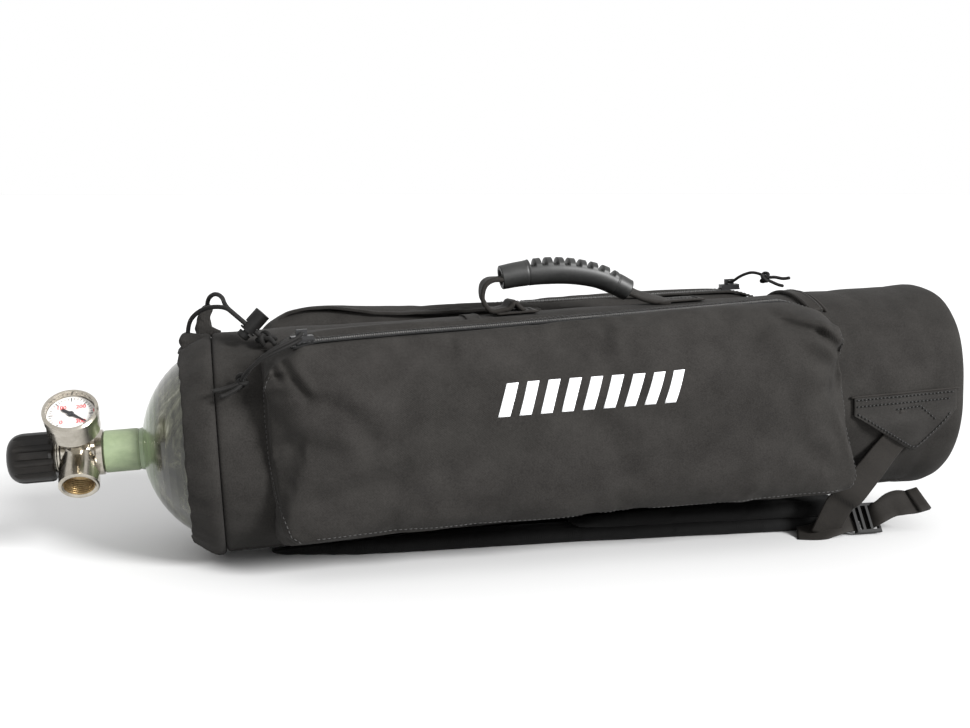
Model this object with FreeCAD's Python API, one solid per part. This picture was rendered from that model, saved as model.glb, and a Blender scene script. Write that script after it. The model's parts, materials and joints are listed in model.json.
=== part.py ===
import FreeCAD, Part
import math
import os

V = FreeCAD.Vector
os.makedirs("parts", exist_ok=True)

# ---------------------------------------------------------------- driving dimensions (mm, degrees)
TILT = 2.5            # the bag lies nose-down by this much, on its folded shoulder straps
AXIS_Z = 89.0         # height of the bag axis at the lip, above the floor
SHIFT_X = -253.65      # moves the whole pack so that its bounding box is centred on the origin

BAG_R = 86.0          # outside radius of the bag tube
BAG_WALL = 4.0
BAG_LEN = 628.0
COLLAR_LEN = 30.0
LIP_R = 75.5

CYL_R = 78.5          # composite cylinder
CYL_END = 470.0
DOME_X = 42.8
DOME_A = 71.0
REAR_A = 56.0
WRAP_T = 8.0
LINER_T = 3.0
NECK_X = -56.0
NECK_R = 12.5
NECK_BORE = 9.0
SLEEVE_R = 16.3

VALVE_X = -74.5       # where the gauge and outlet axes cross the spindle axis
BODY_R = 13.5
GAUGE_TURN = 40.0     # turn about the bag axis, from straight up, towards the near side
OUTLET_TURN = 130.0
BURST_TURN = 220.0
OUTLET_R = 15.0
OUTLET_BORE = 11.45
OUTLET_REACH = 31.5
GAUGE_R = 20.2
GAUGE_FACE = 51.0
WHEEL_R = 19.2
WHEEL_X0 = -127.0
WHEEL_X1 = -91.6
WHEEL_DOME = 13.0     # how far the grip's rounded end reaches along the axis
WHEEL_STEPS = 12      # points on its outline
FLUTES = 11

POCKET_X0 = 60.0
POCKET_X1 = 525.0
ZIP_A = V(98.0, -90.0, 84.0)
ZIP_B = V(501.0, -50.0, 86.4)
ZIP_W = 22.0

WEB_W = 25.0
WEB_T = 1.8
STRAP_T = 12.0
CORD_D = 3.4
PULL_D = 2.6
EYE_UP = 8.1          # height of a slider's eye above the zip's line
NEAR_AT = -4.0        # where each slider rests along the zip
FAR_AT = 388.0
HANDLE_SLOTS = 8
BAR_X = 10.2          # ladder lock's round bar, from the plate's middle
LOCK_AT = V(559.0, -60.0, 12.6)
LOCK_C = V(61.6, -40.0, 95.2)


# ---------------------------------------------------------------- helpers
def tilted(shape):
    s = shape.copy()
    s.rotate(V(0, 0, 0), V(0, 1, 0), -TILT)
    s.translate(V(SHIFT_X, 0, AXIS_Z))
    return s


def floored(shape):
    s = shape.copy()
    s.translate(V(SHIFT_X, 0, 0))
    return s


def mirrored(shape):
    return shape.mirror(V(0, 0, 0), V(0, 1, 0))


def lathe(profile):
    """Turn a closed (x, r) outline about the bag axis."""
    pts = [V(x, 0, r) for x, r in profile]
    face = Part.Face(Part.makePolygon(pts + [pts[0]]))
    return face.revolve(V(0, 0, 0), V(1, 0, 0), 360)


def tube_x(x0, x1, r_out, r_in=0.0):
    s = Part.makeCylinder(r_out, x1 - x0, V(x0, 0, 0), V(1, 0, 0))
    if r_in > 0:
        s = s.cut(Part.makeCylinder(r_in, x1 - x0 + 2, V(x0 - 1, 0, 0), V(1, 0, 0)))
    return s


def around(shape, turn):
    """Turn a piece built along +Z about the bag axis, then set it on the valve."""
    s = shape.copy()
    s.rotate(V(0, 0, 0), V(1, 0, 0), turn)
    s.translate(V(VALVE_X, 0, 0))
    return s


def sector(x0, x1, r_in, r_out, a0, a1):
    """Part of a tube wall; angles from straight up, positive towards the near side."""
    ring = tube_x(x0, x1, r_out, r_in)
    big = r_out * 3
    steps = max(2, int(math.ceil((a1 - a0) / 30.0)))
    pts = [V(x0 - 1, 0, 0)]
    for i in range(steps + 1):
        a = math.radians(a0 + (a1 - a0) * i / steps)
        pts.append(V(x0 - 1, -big * math.sin(a), big * math.cos(a)))
    wedge = Part.Face(Part.makePolygon(pts + [pts[0]])).extrude(V(x1 - x0 + 2, 0, 0))
    return ring.common(wedge)


def route(points):
    """Straight runs joined by tangent arcs; returns the wire and the arc radii."""
    n = len(points)
    cuts = []
    radii = []
    for i in range(1, n - 1):
        a = points[i - 1] - points[i]
        b = points[i + 1] - points[i]
        turn = math.pi - a.getAngle(b)
        cut = 0.45 * min(a.Length, b.Length)
        radii.append(cut / math.tan(turn / 2))
        a.normalize()
        b.normalize()
        p = points[i] + a * cut
        q = points[i] + b * cut
        mid = a + b
        mid.normalize()
        centre = points[i] + mid * (radii[-1] / math.cos(turn / 2))
        m = centre - mid * radii[-1]
        cuts.append((p, m, q))
    edges = []
    here = points[0]
    for p, m, q in cuts:
        edges.append(Part.makeLine(here, p))
        edges.append(Part.Arc(p, m, q).toShape())
        here = q
    edges.append(Part.makeLine(here, points[-1]))
    return Part.Wire(edges), radii


def cord(name, points, dia):
    wire, radii = route(points)
    d = points[1] - points[0]
    ring = Part.Wire([Part.makeCircle(dia / 2.0, points[0], d)])
    solid = wire.makePipeShell([ring], True, True)
    print(name, "arc radii", [round(r, 1) for r in radii], "diameter", dia)
    return solid


def band(path, t, width, w_dir):
    """Flat webbing: a polyline in the plane across w_dir, thickness t, extruded along w_dir."""
    n = len(path)
    w = V(w_dir)
    w.normalize()
    left = []
    right = []
    for i in range(n):
        if i == 0:
            d = path[1] - path[0]
            k = 1.0
        elif i == n - 1:
            d = path[-1] - path[-2]
            k = 1.0
        else:
            a = path[i] - path[i - 1]
            b = path[i + 1] - path[i]
            a.normalize()
            b.normalize()
            d = a + b
            k = 1.0 / max(0.35, math.cos(a.getAngle(b) / 2))
        d.normalize()
        side = d.cross(w)
        side.normalize()
        left.append(path[i] + side * (t / 2.0 * k))
        right.append(path[i] - side * (t / 2.0 * k))
    pts = left + right[::-1]
    pts = [p - w * (width / 2.0) for p in pts]
    face = Part.Face(Part.makePolygon(pts + [pts[0]]))
    return face.extrude(w * width)


def bend(points, per=6):
    """Replace each inner corner of a polyline by a short run of chords."""
    out = [points[0]]
    for i in range(1, len(points) - 1):
        a = points[i - 1] - points[i]
        b = points[i + 1] - points[i]
        cut = 0.42 * min(a.Length, b.Length)
        a.normalize()
        b.normalize()
        p = points[i] + a * cut
        q = points[i] + b * cut
        for k in range(per + 1):
            t = k / float(per)
            out.append(p * ((1 - t) ** 2) + points[i] * (2 * t * (1 - t)) + q * (t * t))
    out.append(points[-1])
    return out


def hexagon(across, z0, z1):
    r = across / math.sqrt(3.0)
    pts = [V(r * math.cos(math.radians(60 * i)), r * math.sin(math.radians(60 * i)), z0) for i in range(7)]
    return Part.Face(Part.makePolygon(pts)).extrude(V(0, 0, z1 - z0))


nodes = {}

# ---------------------------------------------------------------- cylinder
def dome(offset, x0, steps=14):
    """Points of the front dome, moved inwards by offset, from radius r at x0 to full radius."""
    a = DOME_A - offset
    r = CYL_R - offset
    pts = []
    start = math.acos(max(-1.0, min(1.0, (DOME_X - x0) / a)))
    for i in range(steps + 1):
        t = start + (math.pi / 2 - start) * i / steps
        pts.append((DOME_X - a * math.cos(t), r * math.sin(t)))
    return pts


def rear(offset, steps=12):
    """Points of the rear dome, moved inwards by offset, down to the axis."""
    a = REAR_A - offset
    r = CYL_R - offset
    xc = CYL_END - REAR_A
    pts = []
    for i in range(steps + 1):
        t = math.pi / 2 * (1 - i / float(steps))
        pts.append((xc + a * math.cos(t), r * math.sin(t)))
    return pts


LAY = WRAP_T + 0.2
wrap_out = [p for p in dome(0.0, DOME_X - DOME_A * 0.977)] + rear(0.0)
wrap_in = [p for p in dome(WRAP_T, DOME_X - (DOME_A - WRAP_T) * 0.980)] + rear(WRAP_T)
outer = lathe([(NECK_X + 26.5, 0.0), (NECK_X + 26.5, 15.9)] + wrap_out)
inner = lathe([(-60.0, 0.0), (-60.0, NECK_R + 0.2), (wrap_in[0][0], NECK_R + 0.2)] + wrap_in)
nodes["cylinder_overwrap"] = tilted(outer.cut(inner))

lin_out = dome(LAY, DOME_X - (DOME_A - LAY) * 0.980) + rear(LAY)
lin_in = dome(LAY + LINER_T, DOME_X - (DOME_A - LAY - LINER_T) * 0.985) + rear(LAY + LINER_T)
body = lathe([(NECK_X, 0.0), (NECK_X, NECK_R), (lin_out[0][0], NECK_R)] + lin_out)
hollow = lathe([(lin_in[0][0] - 0.01, 0.0)] + lin_in)
bore = tube_x(NECK_X - 1, 0.0, NECK_BORE + 0.05)
groove = tube_x(NECK_X - 1, NECK_X + 2.0, 11.6)
nodes["cylinder_liner"] = tilted(body.cut(hollow).cut(bore).cut(groove))

sleeve = lathe([(NECK_X, NECK_R + 0.1), (NECK_X, SLEEVE_R - 0.8), (NECK_X + 0.8, SLEEVE_R),
                (NECK_X + 24.6, SLEEVE_R), (NECK_X + 26.3, SLEEVE_R - 0.6), (NECK_X + 26.3, NECK_R + 0.1)])
nodes["neck_sleeve"] = tilted(sleeve)

# ---------------------------------------------------------------- cylinder valve
# body: neck ring, waist, cross block, spindle barrel, and the screwed stem inside the neck
core = lathe([(-30.0, 0.0), (-30.0, 8.6), (-31.0, NECK_BORE), (NECK_X, NECK_BORE), (NECK_X - 0.3, NECK_BORE),
              (NECK_X - 0.3, 16.8), (NECK_X - 0.9, 17.4), (NECK_X - 5.2, 17.4), (NECK_X - 6.0, 16.6),
              (NECK_X - 6.6, 14.2), (NECK_X - 9.0, BODY_R), (-87.0, BODY_R), (-88.2, 12.6), (-89.6, 12.6),
              (-89.6, 0.0)])
ball = Part.makeSphere(16.4, V(VALVE_X, 0, 0)).common(tube_x(NECK_X - 32, NECK_X - 5.5, 30.0))
outlet = Part.makeCylinder(OUTLET_R, OUTLET_REACH - 1.0, V(0, 0, 0), V(0, 0, 1))
outlet = outlet.fuse(Part.makeCone(OUTLET_R, OUTLET_R - 1.0, 1.0, V(0, 0, OUTLET_REACH - 1.0), V(0, 0, 1)))
gboss = Part.makeCylinder(9.2, 19.0, V(0, 0, 0), V(0, 0, 1))
bboss = Part.makeCylinder(8.0, 19.5, V(0, 0, 0), V(0, 0, 1))
block = core.fuse([ball, around(outlet, OUTLET_TURN), around(gboss, GAUGE_TURN), around(bboss, BURST_TURN)])
mouth = Part.makeCylinder(OUTLET_BORE, 17.0, V(0, 0, OUTLET_REACH - 16.0), V(0, 0, 1))
mouth = mouth.fuse(Part.makeCylinder(2.2, OUTLET_REACH, V(0, 0, 0), V(0, 0, 1)))
mouth = mouth.fuse(Part.makeCone(OUTLET_BORE, OUTLET_BORE + 1.2, 1.2, V(0, 0, OUTLET_REACH - 1.2), V(0, 0, 1)))
gport = Part.makeCylinder(4.05, 10.0, V(0, 0, 9.5), V(0, 0, 1))
bport = Part.makeCylinder(5.05, 10.0, V(0, 0, 12.0), V(0, 0, 1))
bport = bport.fuse(Part.makeCylinder(1.5, 20.0, V(0, 0, 0), V(0, 0, 1)))
gport = gport.fuse(Part.makeCylinder(1.0, 20.0, V(0, 0, 0), V(0, 0, 1)))
pressure = tube_x(-66.0, -29.0, 2.6)
seat_room = tube_x(-89.7, -66.0, 5.55)
gland_room = tube_x(-89.7, -83.0, 8.05)
block = block.cut(around(mouth, OUTLET_TURN))
block = block.cut(around(gport, GAUGE_TURN))
block = block.cut(around(bport, BURST_TURN))
block = block.cut(pressure).cut(seat_room).cut(gland_room)
nodes["valve_body"] = tilted(block)

ring = Part.makeTorus(10.3, 1.0, V(NECK_X + 0.9, 0, 0), V(1, 0, 0))
nodes["neck_oring"] = tilted(ring)

gland = lathe([(-83.2, 3.55), (-83.2, 8.0), (-89.8, 8.0), (-89.8, 11.6), (-90.4, 12.0), (-94.4, 12.0),
               (-95.0, 11.4), (-95.0, 3.55)])
nodes["gland_nut"] = tilted(gland)

low = tube_x(-78.4, -69.6, 5.5)
low = low.cut(Part.makeBox(6.4, 12.0, 2.1, V(-81.0, -6.0, -1.05)))
nodes["lower_spindle"] = tilted(low)
nodes["valve_seat"] = tilted(tube_x(-69.6, -66.3, 4.6))

up = tube_x(-116.0, -82.9, 3.5).fuse(tube_x(-83.0, -81.6, 5.0))
tang = Part.makeBox(4.4, 8.0, 2.0, V(-81.7, -4.0, -1.0))
up = up.fuse(tang.common(tube_x(-82.0, -70.0, 4.4)))
up = up.removeSplitter()
nodes["upper_spindle"] = tilted(up)

plug = hexagon(12.0, 19.7, 25.0)
plug = plug.fuse(Part.makeCylinder(5.0, 6.0, V(0, 0, 13.8), V(0, 0, 1)))
plug = plug.cut(Part.makeCylinder(1.5, 10.0, V(0, 0, 16.0), V(0, 0, 1)))
nodes["burst_disc_plug"] = tilted(around(plug, BURST_TURN))

# handwheel: rubber grip with round flutes and a domed end, over a moulded hub
prof = [(WHEEL_X1, 13.2), (WHEEL_X1, 16.6)]
prof += [(WHEEL_X1 - 1.4, 18.6), (WHEEL_X1 - 3.4, WHEEL_R)]
prof += [(WHEEL_X0 + WHEEL_DOME, WHEEL_R)]
for i in range(1, WHEEL_STEPS + 1):
    t = math.pi / 2 * i / WHEEL_STEPS
    prof.append((WHEEL_X0 + WHEEL_DOME - WHEEL_DOME * math.sin(t), 1.0 + (WHEEL_R - 1.0) * math.cos(t) ** 0.62))
prof += [(WHEEL_X0, 0.0), (WHEEL_X0 + 4.0, 0.0), (WHEEL_X0 + 4.0, 13.2)]
grip = lathe(prof)
for i in range(FLUTES):
    a = 2 * math.pi * (i + 0.5) / FLUTES
    c = Part.makeCylinder(3.3, 60.0, V(WHEEL_X0 - 12, (WHEEL_R + 1.5) * math.cos(a), (WHEEL_R + 1.5) * math.sin(a)),
                          V(1, 0, 0))
    grip = grip.cut(c)
nodes["handwheel_grip"] = tilted(grip)
hub = tube_x(-118.0, WHEEL_X1 - 0.4, 13.1, 12.4).fuse(tube_x(-113.0, -97.0, 13.1, 3.6))
hub = hub.fuse(tube_x(-118.0, -113.0, 13.1, 6.6))
nodes["handwheel_hub"] = tilted(hub.removeSplitter())
nut = hexagon(9.0, 0.0, 3.6)
nut.rotate(V(0, 0, 0), V(0, 1, 0), 90)
nut.translate(V(-116.7, 0, 0))
nut = nut.cut(tube_x(-118.0, -112.0, 3.55))
nodes["handwheel_nut"] = tilted(nut)

# ---------------------------------------------------------------- pressure gauge (built along +Z)
z1 = GAUGE_FACE
case = Part.makeCylinder(GAUGE_R - 0.8, 16.0, V(0, 0, z1 - 18.0), V(0, 0, 1))
case = case.fuse(Part.makeCone(13.0, GAUGE_R - 0.8, 3.0, V(0, 0, z1 - 21.0), V(0, 0, 1)))
case = case.cut(Part.makeCylinder(GAUGE_R - 2.4, 15.0, V(0, 0, z1 - 16.5), V(0, 0, 1)))
stub = Part.makeBox(12.4, 12.4, 11.2, V(-6.2, -6.2, 19.2))
stub = stub.fuse(Part.makeCylinder(4.0, 8.4, V(0, 0, 11.0), V(0, 0, 1)))
case = case.fuse(stub).cut(Part.makeCylinder(1.0, 30.0, V(0, 0, 5.0), V(0, 0, 1)))
nodes["gauge_case"] = tilted(around(case.removeSplitter(), GAUGE_TURN))
bez = Part.makeCylinder(GAUGE_R, 6.0, V(0, 0, z1 - 4.6), V(0, 0, 1))
bez = bez.fuse(Part.makeCone(GAUGE_R, GAUGE_R - 1.4, 1.2, V(0, 0, z1 + 1.4), V(0, 0, 1)))
bez = bez.cut(Part.makeCylinder(GAUGE_R - 0.75, 2.7, V(0, 0, z1 - 4.7), V(0, 0, 1)))
bez = bez.cut(Part.makeCylinder(GAUGE_R - 2.6, 12.0, V(0, 0, z1 - 5.0), V(0, 0, 1)))
nodes["gauge_bezel"] = tilted(around(bez, GAUGE_TURN))
dial = Part.makeCylinder(GAUGE_R - 2.7, 0.8, V(0, 0, z1 - 4.4), V(0, 0, 1))
dial = dial.cut(Part.makeCylinder(0.9, 3.0, V(0, 0, z1 - 5.0), V(0, 0, 1)))
nodes["gauge_dial"] = tilted(around(dial, GAUGE_TURN))
lens = Part.makeCylinder(GAUGE_R - 2.7, 1.4, V(0, 0, z1 - 0.4), V(0, 0, 1))
nodes["gauge_lens"] = tilted(around(lens, GAUGE_TURN))
needle = Part.makeCylinder(2.3, 0.9, V(0, 0, z1 - 2.9), V(0, 0, 1))
needle = needle.fuse(Part.makeCylinder(0.8, 3.6, V(0, 0, z1 - 6.2), V(0, 0, 1)))
blade = Part.makePolygon([V(-8.0, -1.0, 0), V(0, -1.3, 0), V(13.5, -0.25, 0), V(13.5, 0.25, 0), V(0, 1.3, 0),
                          V(-8.0, 1.0, 0), V(-8.0, -1.0, 0)])
blade = Part.Face(blade).extrude(V(0, 0, 0.5))
blade.translate(V(0, 0, z1 - 2.7))
needle = needle.fuse(blade)
needle.rotate(V(0, 0, 0), V(0, 0, 1), -36)
nodes["gauge_needle"] = tilted(around(needle, GAUGE_TURN))
coil = Part.makeTorus(11.5, 1.6, V(0, 0, z1 - 10.0), V(0, 0, 1), 0, 360, 260)
post = Part.makeCylinder(2.2, 5.0, V(11.5, 0, z1 - 15.4), V(0, 0, 1))
nodes["gauge_bourdon_tube"] = tilted(around(coil.fuse(post), GAUGE_TURN))

# ---------------------------------------------------------------- bag shell, sewn from panels
R_IN = BAG_R - BAG_WALL
nodes["top_panel"] = tilted(sector(COLLAR_LEN, BAG_LEN - 6, R_IN, BAG_R, -24, 24))
side = sector(COLLAR_LEN, BAG_LEN - 6, R_IN, BAG_R, 24, 152)
nodes["near_side_panel"] = tilted(side)
nodes["far_side_panel"] = tilted(mirrored(side))
nodes["back_panel"] = tilted(sector(COLLAR_LEN, BAG_LEN - 6, R_IN, BAG_R, 152, 208))
cap = lathe([(BAG_LEN - 6, 0.0), (BAG_LEN - 6, BAG_R), (BAG_LEN - 1.5, BAG_R), (BAG_LEN + 1.5, BAG_R - 3.0),
             (BAG_LEN + 3.5, BAG_R - 10.0), (BAG_LEN + 4.5, BAG_R - 30.0), (BAG_LEN + 4.8, 0.0)])
nodes["end_cap"] = tilted(cap)
nodes["end_spacer"] = tilted(tube_x(CYL_END + 3.0, BAG_LEN - 6.3, R_IN - 1.0))

# gathered collar with its cord channel; the two channel ends stand up as ears
col = lathe([(COLLAR_LEN - 0.1, R_IN), (COLLAR_LEN - 0.1, BAG_R), (25.0, 84.8), (18.0, 81.6), (13.0, LIP_R + 2.6),
             (9.6, LIP_R + 1.4), (7.4, LIP_R - 1.0), (8.6, LIP_R - 2.8), (12.0, LIP_R - 1.9), (18.0, 77.0),
             (24.0, 79.8)])
ear1 = Part.makePolygon([V(9, -14, 75), V(6, -14, 81), V(8.5, -14, 88), V(15, -14, 88.5), V(23, -14, 85),
                         V(26, -14, 82), V(16, -14, 77), V(9, -14, 75)])
ear2 = Part.makePolygon([V(17, 2, 80), V(20, 2, 92), V(27, 2, 106), V(32, 2, 107.5), V(36, 2, 100),
                         V(37, 2, 88), V(29, 2, 83.5), V(17, 2, 80)])
ears = Part.Face(ear1).extrude(V(0, 12, 0)).fuse(Part.Face(ear2).extrude(V(0, 11, 0)))
ears = ears.cut(tube_x(COLLAR_LEN - 0.1, 60.0, BAG_R + 0.05)).cut(tube_x(-10, COLLAR_LEN - 0.1, 75.2))
nodes["drawstring_collar"] = tilted(col.fuse(ears))

# ---------------------------------------------------------------- pockets
def section(points):
    """Closed outline in the YZ plane at x=0: a smooth outer line closed by straight runs."""
    curve = Part.BSplineCurve()
    curve.interpolate([V(0, -y, z) for y, z in points])
    e = curve.toShape()
    a = V(0, -points[0][0], points[0][1])
    b = V(0, -points[-1][0], points[-1][1])
    c = V(0, -20, 0)
    return Part.Face(Part.Wire([e, Part.makeLine(b, c), Part.makeLine(c, a)]))


outline = [(30.0, 83.0), (44.0, 86.2), (60.0, 86.9), (78.0, 85.4), (94.0, 81.6), (105.0, 73.5), (110.5, 60.0),
           (113.0, 40.0), (114.0, 10.0), (112.5, -25.0), (107.0, -46.0), (96.0, -57.0), (80.0, -61.5), (60.0, -63.0)]
slab = section(outline).extrude(V(700, 0, 0))
front = Part.makePolygon([V(POCKET_X0 + 12, -200, 95), V(POCKET_X0 + 1, -200, 74), V(POCKET_X0, -200, 20),
                          V(POCKET_X0 + 2, -200, -30), V(POCKET_X0 + 8, -200, -50), V(POCKET_X0 + 22, -200, -66),
                          V(POCKET_X1 - 8, -200, -66), V(POCKET_X1 + 1, -200, -54), V(POCKET_X1, -200, 0),
                          V(POCKET_X1 - 9, -200, 72), V(POCKET_X1 - 12, -200, 95), V(POCKET_X0 + 12, -200, 95)])
mask = Part.Face(front).extrude(V(0, 200, 0))
plan = Part.makePolygon([V(POCKET_X0 + 24, 0, -150), V(POCKET_X0 + 21, -54, -150), V(POCKET_X0, -74, -150),
                         V(POCKET_X0, -88, -150), V(POCKET_X0 + 6, -104, -150),
                         V(POCKET_X0 + 22, -120, -150), V(POCKET_X1 - 16, -120, -150), V(POCKET_X1 - 3, -106, -150),
                         V(POCKET_X1 + 1, -92, -150), V(POCKET_X1 + 1, 0, -150), V(POCKET_X0 + 24, 0, -150)])
mask2 = Part.Face(plan).extrude(V(0, 0, 300))
pocket = slab.common(mask).common(mask2).cut(tube_x(0, 700, BAG_R + 0.05))
nodes["near_pocket"] = tilted(pocket)
nodes["far_pocket"] = tilted(mirrored(pocket))

# zip: tape on the pocket's top face, with the coil standing on it
zdir = ZIP_B - ZIP_A
zlen = zdir.Length
zdir.normalize()
zside = V(0, 0, 1).cross(zdir)
zside.normalize()
zup = zdir.cross(zside)


def zip_box(a0, a1, half, h0, h1):
    """A box in the zip's own axes: along it, half width, and heights above its line."""
    p = [ZIP_A + zdir * a + zside * s + zup * h0
         for a, s in ((a0, -half), (a1, -half), (a1, half), (a0, half))]
    return Part.Face(Part.makePolygon(p + [p[0]])).extrude(zup * (h1 - h0))


tape = zip_box(-14.0, zlen + 2.0, ZIP_W / 2, -4.5, 1.4)
tape = tape.fuse(zip_box(-12.0, zlen - 1.0, 2.6, 1.0, 2.9)).cut(pocket)
nodes["near_zip"] = tilted(tape)
nodes["far_zip"] = tilted(mirrored(tape))

# reinforcing tape sewn across the top, at the pockets' rear ends
bandr = sector(BAG_LEN - 122.0, BAG_LEN - 98.0, BAG_R + 0.1, BAG_R + 2.0, -19, 19)
nodes["rear_binding"] = tilted(bandr)


# ---------------------------------------------------------------- zip sliders and their cord pulls

def slider(at):
    b = zip_box(at - 8.0, at + 8.0, 4.6, 3.2, 6.4)
    b = b.fuse(zip_box(at - 4.0, at + 4.0, 1.5, 6.0, 11.0))
    hole = ZIP_A + zdir * at + zup * EYE_UP
    b = b.cut(Part.makeCylinder(PULL_D / 2 + 0.3, 6.0, hole - zside * 3.0, zside))
    b = b.fuse(zip_box(at - 8.0, at + 8.0, 6.0, 1.9, 3.3).cut(zip_box(at - 9.0, at + 9.0, 2.9, 1.0, 3.2)))
    return b.removeSplitter()


nodes["near_zip_slider"] = tilted(slider(NEAR_AT))
nodes["far_zip_slider"] = tilted(mirrored(slider(FAR_AT)))

eye = ZIP_A + zdir * NEAR_AT + zup * EYE_UP
# near pull: out of the eye, down over the pocket's corner, onto the bare tube
p_near = [eye, eye - zside * 6.0, V(85.0, -103.0, 89.0), V(67.0, -106.0, 85.0), V(54.0, -98.0, 70.0),
          V(51.8, -77.6, 60.9)]
nodes["near_pull_cord"] = tilted(cord("near_pull_cord", p_near, PULL_D))


def knot(centre, along, r, l):
    """Overhand knot: two crossing rolls and a waist, as one lump."""
    d = V(along)
    d.normalize()
    side = d.cross(V(0, 0, 1))
    side.normalize()
    k = Part.makeSphere(r, centre)
    k = k.fuse(Part.makeTorus(r * 0.62, r * 0.46, centre - d * (l * 0.2), d + side * 0.45))
    k = k.fuse(Part.makeTorus(r * 0.62, r * 0.46, centre + d * (l * 0.2), d - side * 0.45))
    return k


kn = V(50.6, -74.6, 58.6)
tail = Part.makeCylinder(PULL_D / 2, 22.0, kn, V(-20.5, -2.6, -5.6))
tail2 = Part.makeCylinder(PULL_D / 2, 16.0, kn + V(0, -2.4, -1.6), V(-20.5, -4.0, -7.0))
nodes["near_pull_knot"] = tilted(knot(kn, V(-20, 0, -8), 4.0, 6.0).fuse([tail, tail2]))

feye = ZIP_A + zdir * FAR_AT + zup * EYE_UP
feye = V(feye.x, -feye.y, feye.z)
across = V(zside.x, -zside.y, 0)
p_far = [feye, feye + across * 6.0, V(491.0, 39.5, 101.5), V(501.0, 33.0, 104.5), V(508.0, 28.5, 99.8)]
nodes["far_pull_cord"] = tilted(cord("far_pull_cord", p_far, PULL_D))
kf = V(507.6, 28.4, 98.6)
t1 = Part.makeCylinder(PULL_D / 2, 21.0, kf, V(18.0, -7.4, -1.0))
t2 = Part.makeCylinder(PULL_D / 2, 18.0, kf + V(0, 0, -2.0), V(15.0, -4.0, -5.0))
nodes["far_pull_knot"] = tilted(knot(kf, V(16, -9, -4), 4.2, 6.4).fuse([t1, t2]))

# ---------------------------------------------------------------- carry handle
# arched moulded grip over a webbing core, lower at the closed end
spine = [V(262.5, 0, 115.4), V(278.0, 0, 117.4), V(300.0, 0, 118.6), V(322.0, 0, 117.0), V(344.0, 0, 112.0),
         V(360.0, 0, 104.6), V(371.0, 0, 98.4)]
curve = Part.BSplineCurve()
curve.interpolate(spine)
rings = []
for u, ry, rz in ((0.0, 9.4, 9.6), (0.06, 10.6, 10.6), (0.3, 11.4, 10.4), (0.6, 11.4, 10.2), (0.92, 10.0, 9.6),
                  (1.0, 8.6, 8.4)):
    t = curve.FirstParameter + (curve.LastParameter - curve.FirstParameter) * u
    p = curve.value(t)
    d = curve.tangent(t)[0]
    major, minor = (ry, rz) if ry >= rz else (rz, ry)
    el = Part.Ellipse(V(0, 0, 0), major, minor).toShape()
    pl = FreeCAD.Placement()
    up_ = V(0, 1, 0).cross(d) * -1
    up_.normalize()
    if ry >= rz:
        m = FreeCAD.Matrix(0, up_.x, d.x, p.x, 1, up_.y, d.y, p.y, 0, up_.z, d.z, p.z, 0, 0, 0, 1)
    else:
        m = FreeCAD.Matrix(up_.x, 0, d.x, p.x, up_.y, -1, d.y, p.y, up_.z, 0, d.z, p.z, 0, 0, 0, 1)
    el.transformShape(m)
    rings.append(Part.Wire([el]))
grip = Part.makeLoft(rings, True, False)
core_path = [V(255.0, 0, 114.0)] + spine + [V(378.0, 0, 94.4)]
core_band = band(bend(core_path, 3), WEB_T, 12.0, V(0, 1, 0))
grip = grip.cut(band(bend(core_path, 3), WEB_T + 0.3, 12.3, V(0, 1, 0)))
for i in range(HANDLE_SLOTS):
    x = 288.6 + 9.2 * i
    top = 128.8 - 0.0042 * (x - 304.0) ** 2 - 0.6
    if x > 330:
        top -= 0.010 * (x - 330.0) ** 1.7
    grip = grip.cut(Part.makeBox(3.4, 30.0, 3.4, V(x - 1.7, -15.0, top - 1.9)))
nodes["handle_grip"] = tilted(grip)
nodes["handle_core_webbing"] = tilted(core_band)
left = band(bend([V(262.2, 0, 112.0), V(249.0, 0, 110.0), V(246.5, 0, 100.0), V(252.0, 0, 92.6), V(258.0, 0, 90.0)]),
            WEB_T, WEB_W - 3.0, V(0, 1, 0))
left = left.cut(core_band)
nodes["handle_webbing_left"] = tilted(left)
right = band(bend([V(379.0, 0, 93.4), V(386.0, 0, 91.2), V(394.0, 0, 90.0)]), WEB_T, WEB_W - 3.0, V(0, 1, 0))
nodes["handle_webbing_right"] = tilted(right.cut(core_band))
anch = Part.makeBox(30.0, WEB_W, 6.0, V(258.6, -WEB_W / 2, 84.0))
anch = anch.fuse(Part.makeBox(38.0, WEB_W, 6.0, V(394.6, -WEB_W / 2, 84.0)))
anch = anch.common(tube_x(200, 500, BAG_R + 4.4, BAG_R + 0.1))
nodes["handle_anchors"] = tilted(anch)

# ---------------------------------------------------------------- drawcord and barrel lock
b_dir = V(1, 0, 1)
b_dir.normalize()
c_dir = V(1, 0, -1)
c_dir.normalize()


def lock_cyl(t0, t1, r):
    return Part.makeCylinder(r, t1 - t0, LOCK_C + b_dir * t0, b_dir)


def lock_slot(t0, t1, half_y):
    p = [LOCK_C + b_dir * t0 - c_dir * 12 - V(0, half_y, 0), LOCK_C + b_dir * t1 - c_dir * 12 - V(0, half_y, 0),
         LOCK_C + b_dir * t1 + c_dir * 12 - V(0, half_y, 0), LOCK_C + b_dir * t0 + c_dir * 12 - V(0, half_y, 0)]
    return Part.Face(Part.makePolygon(p + [p[0]])).extrude(V(0, 2 * half_y, 0))


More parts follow.
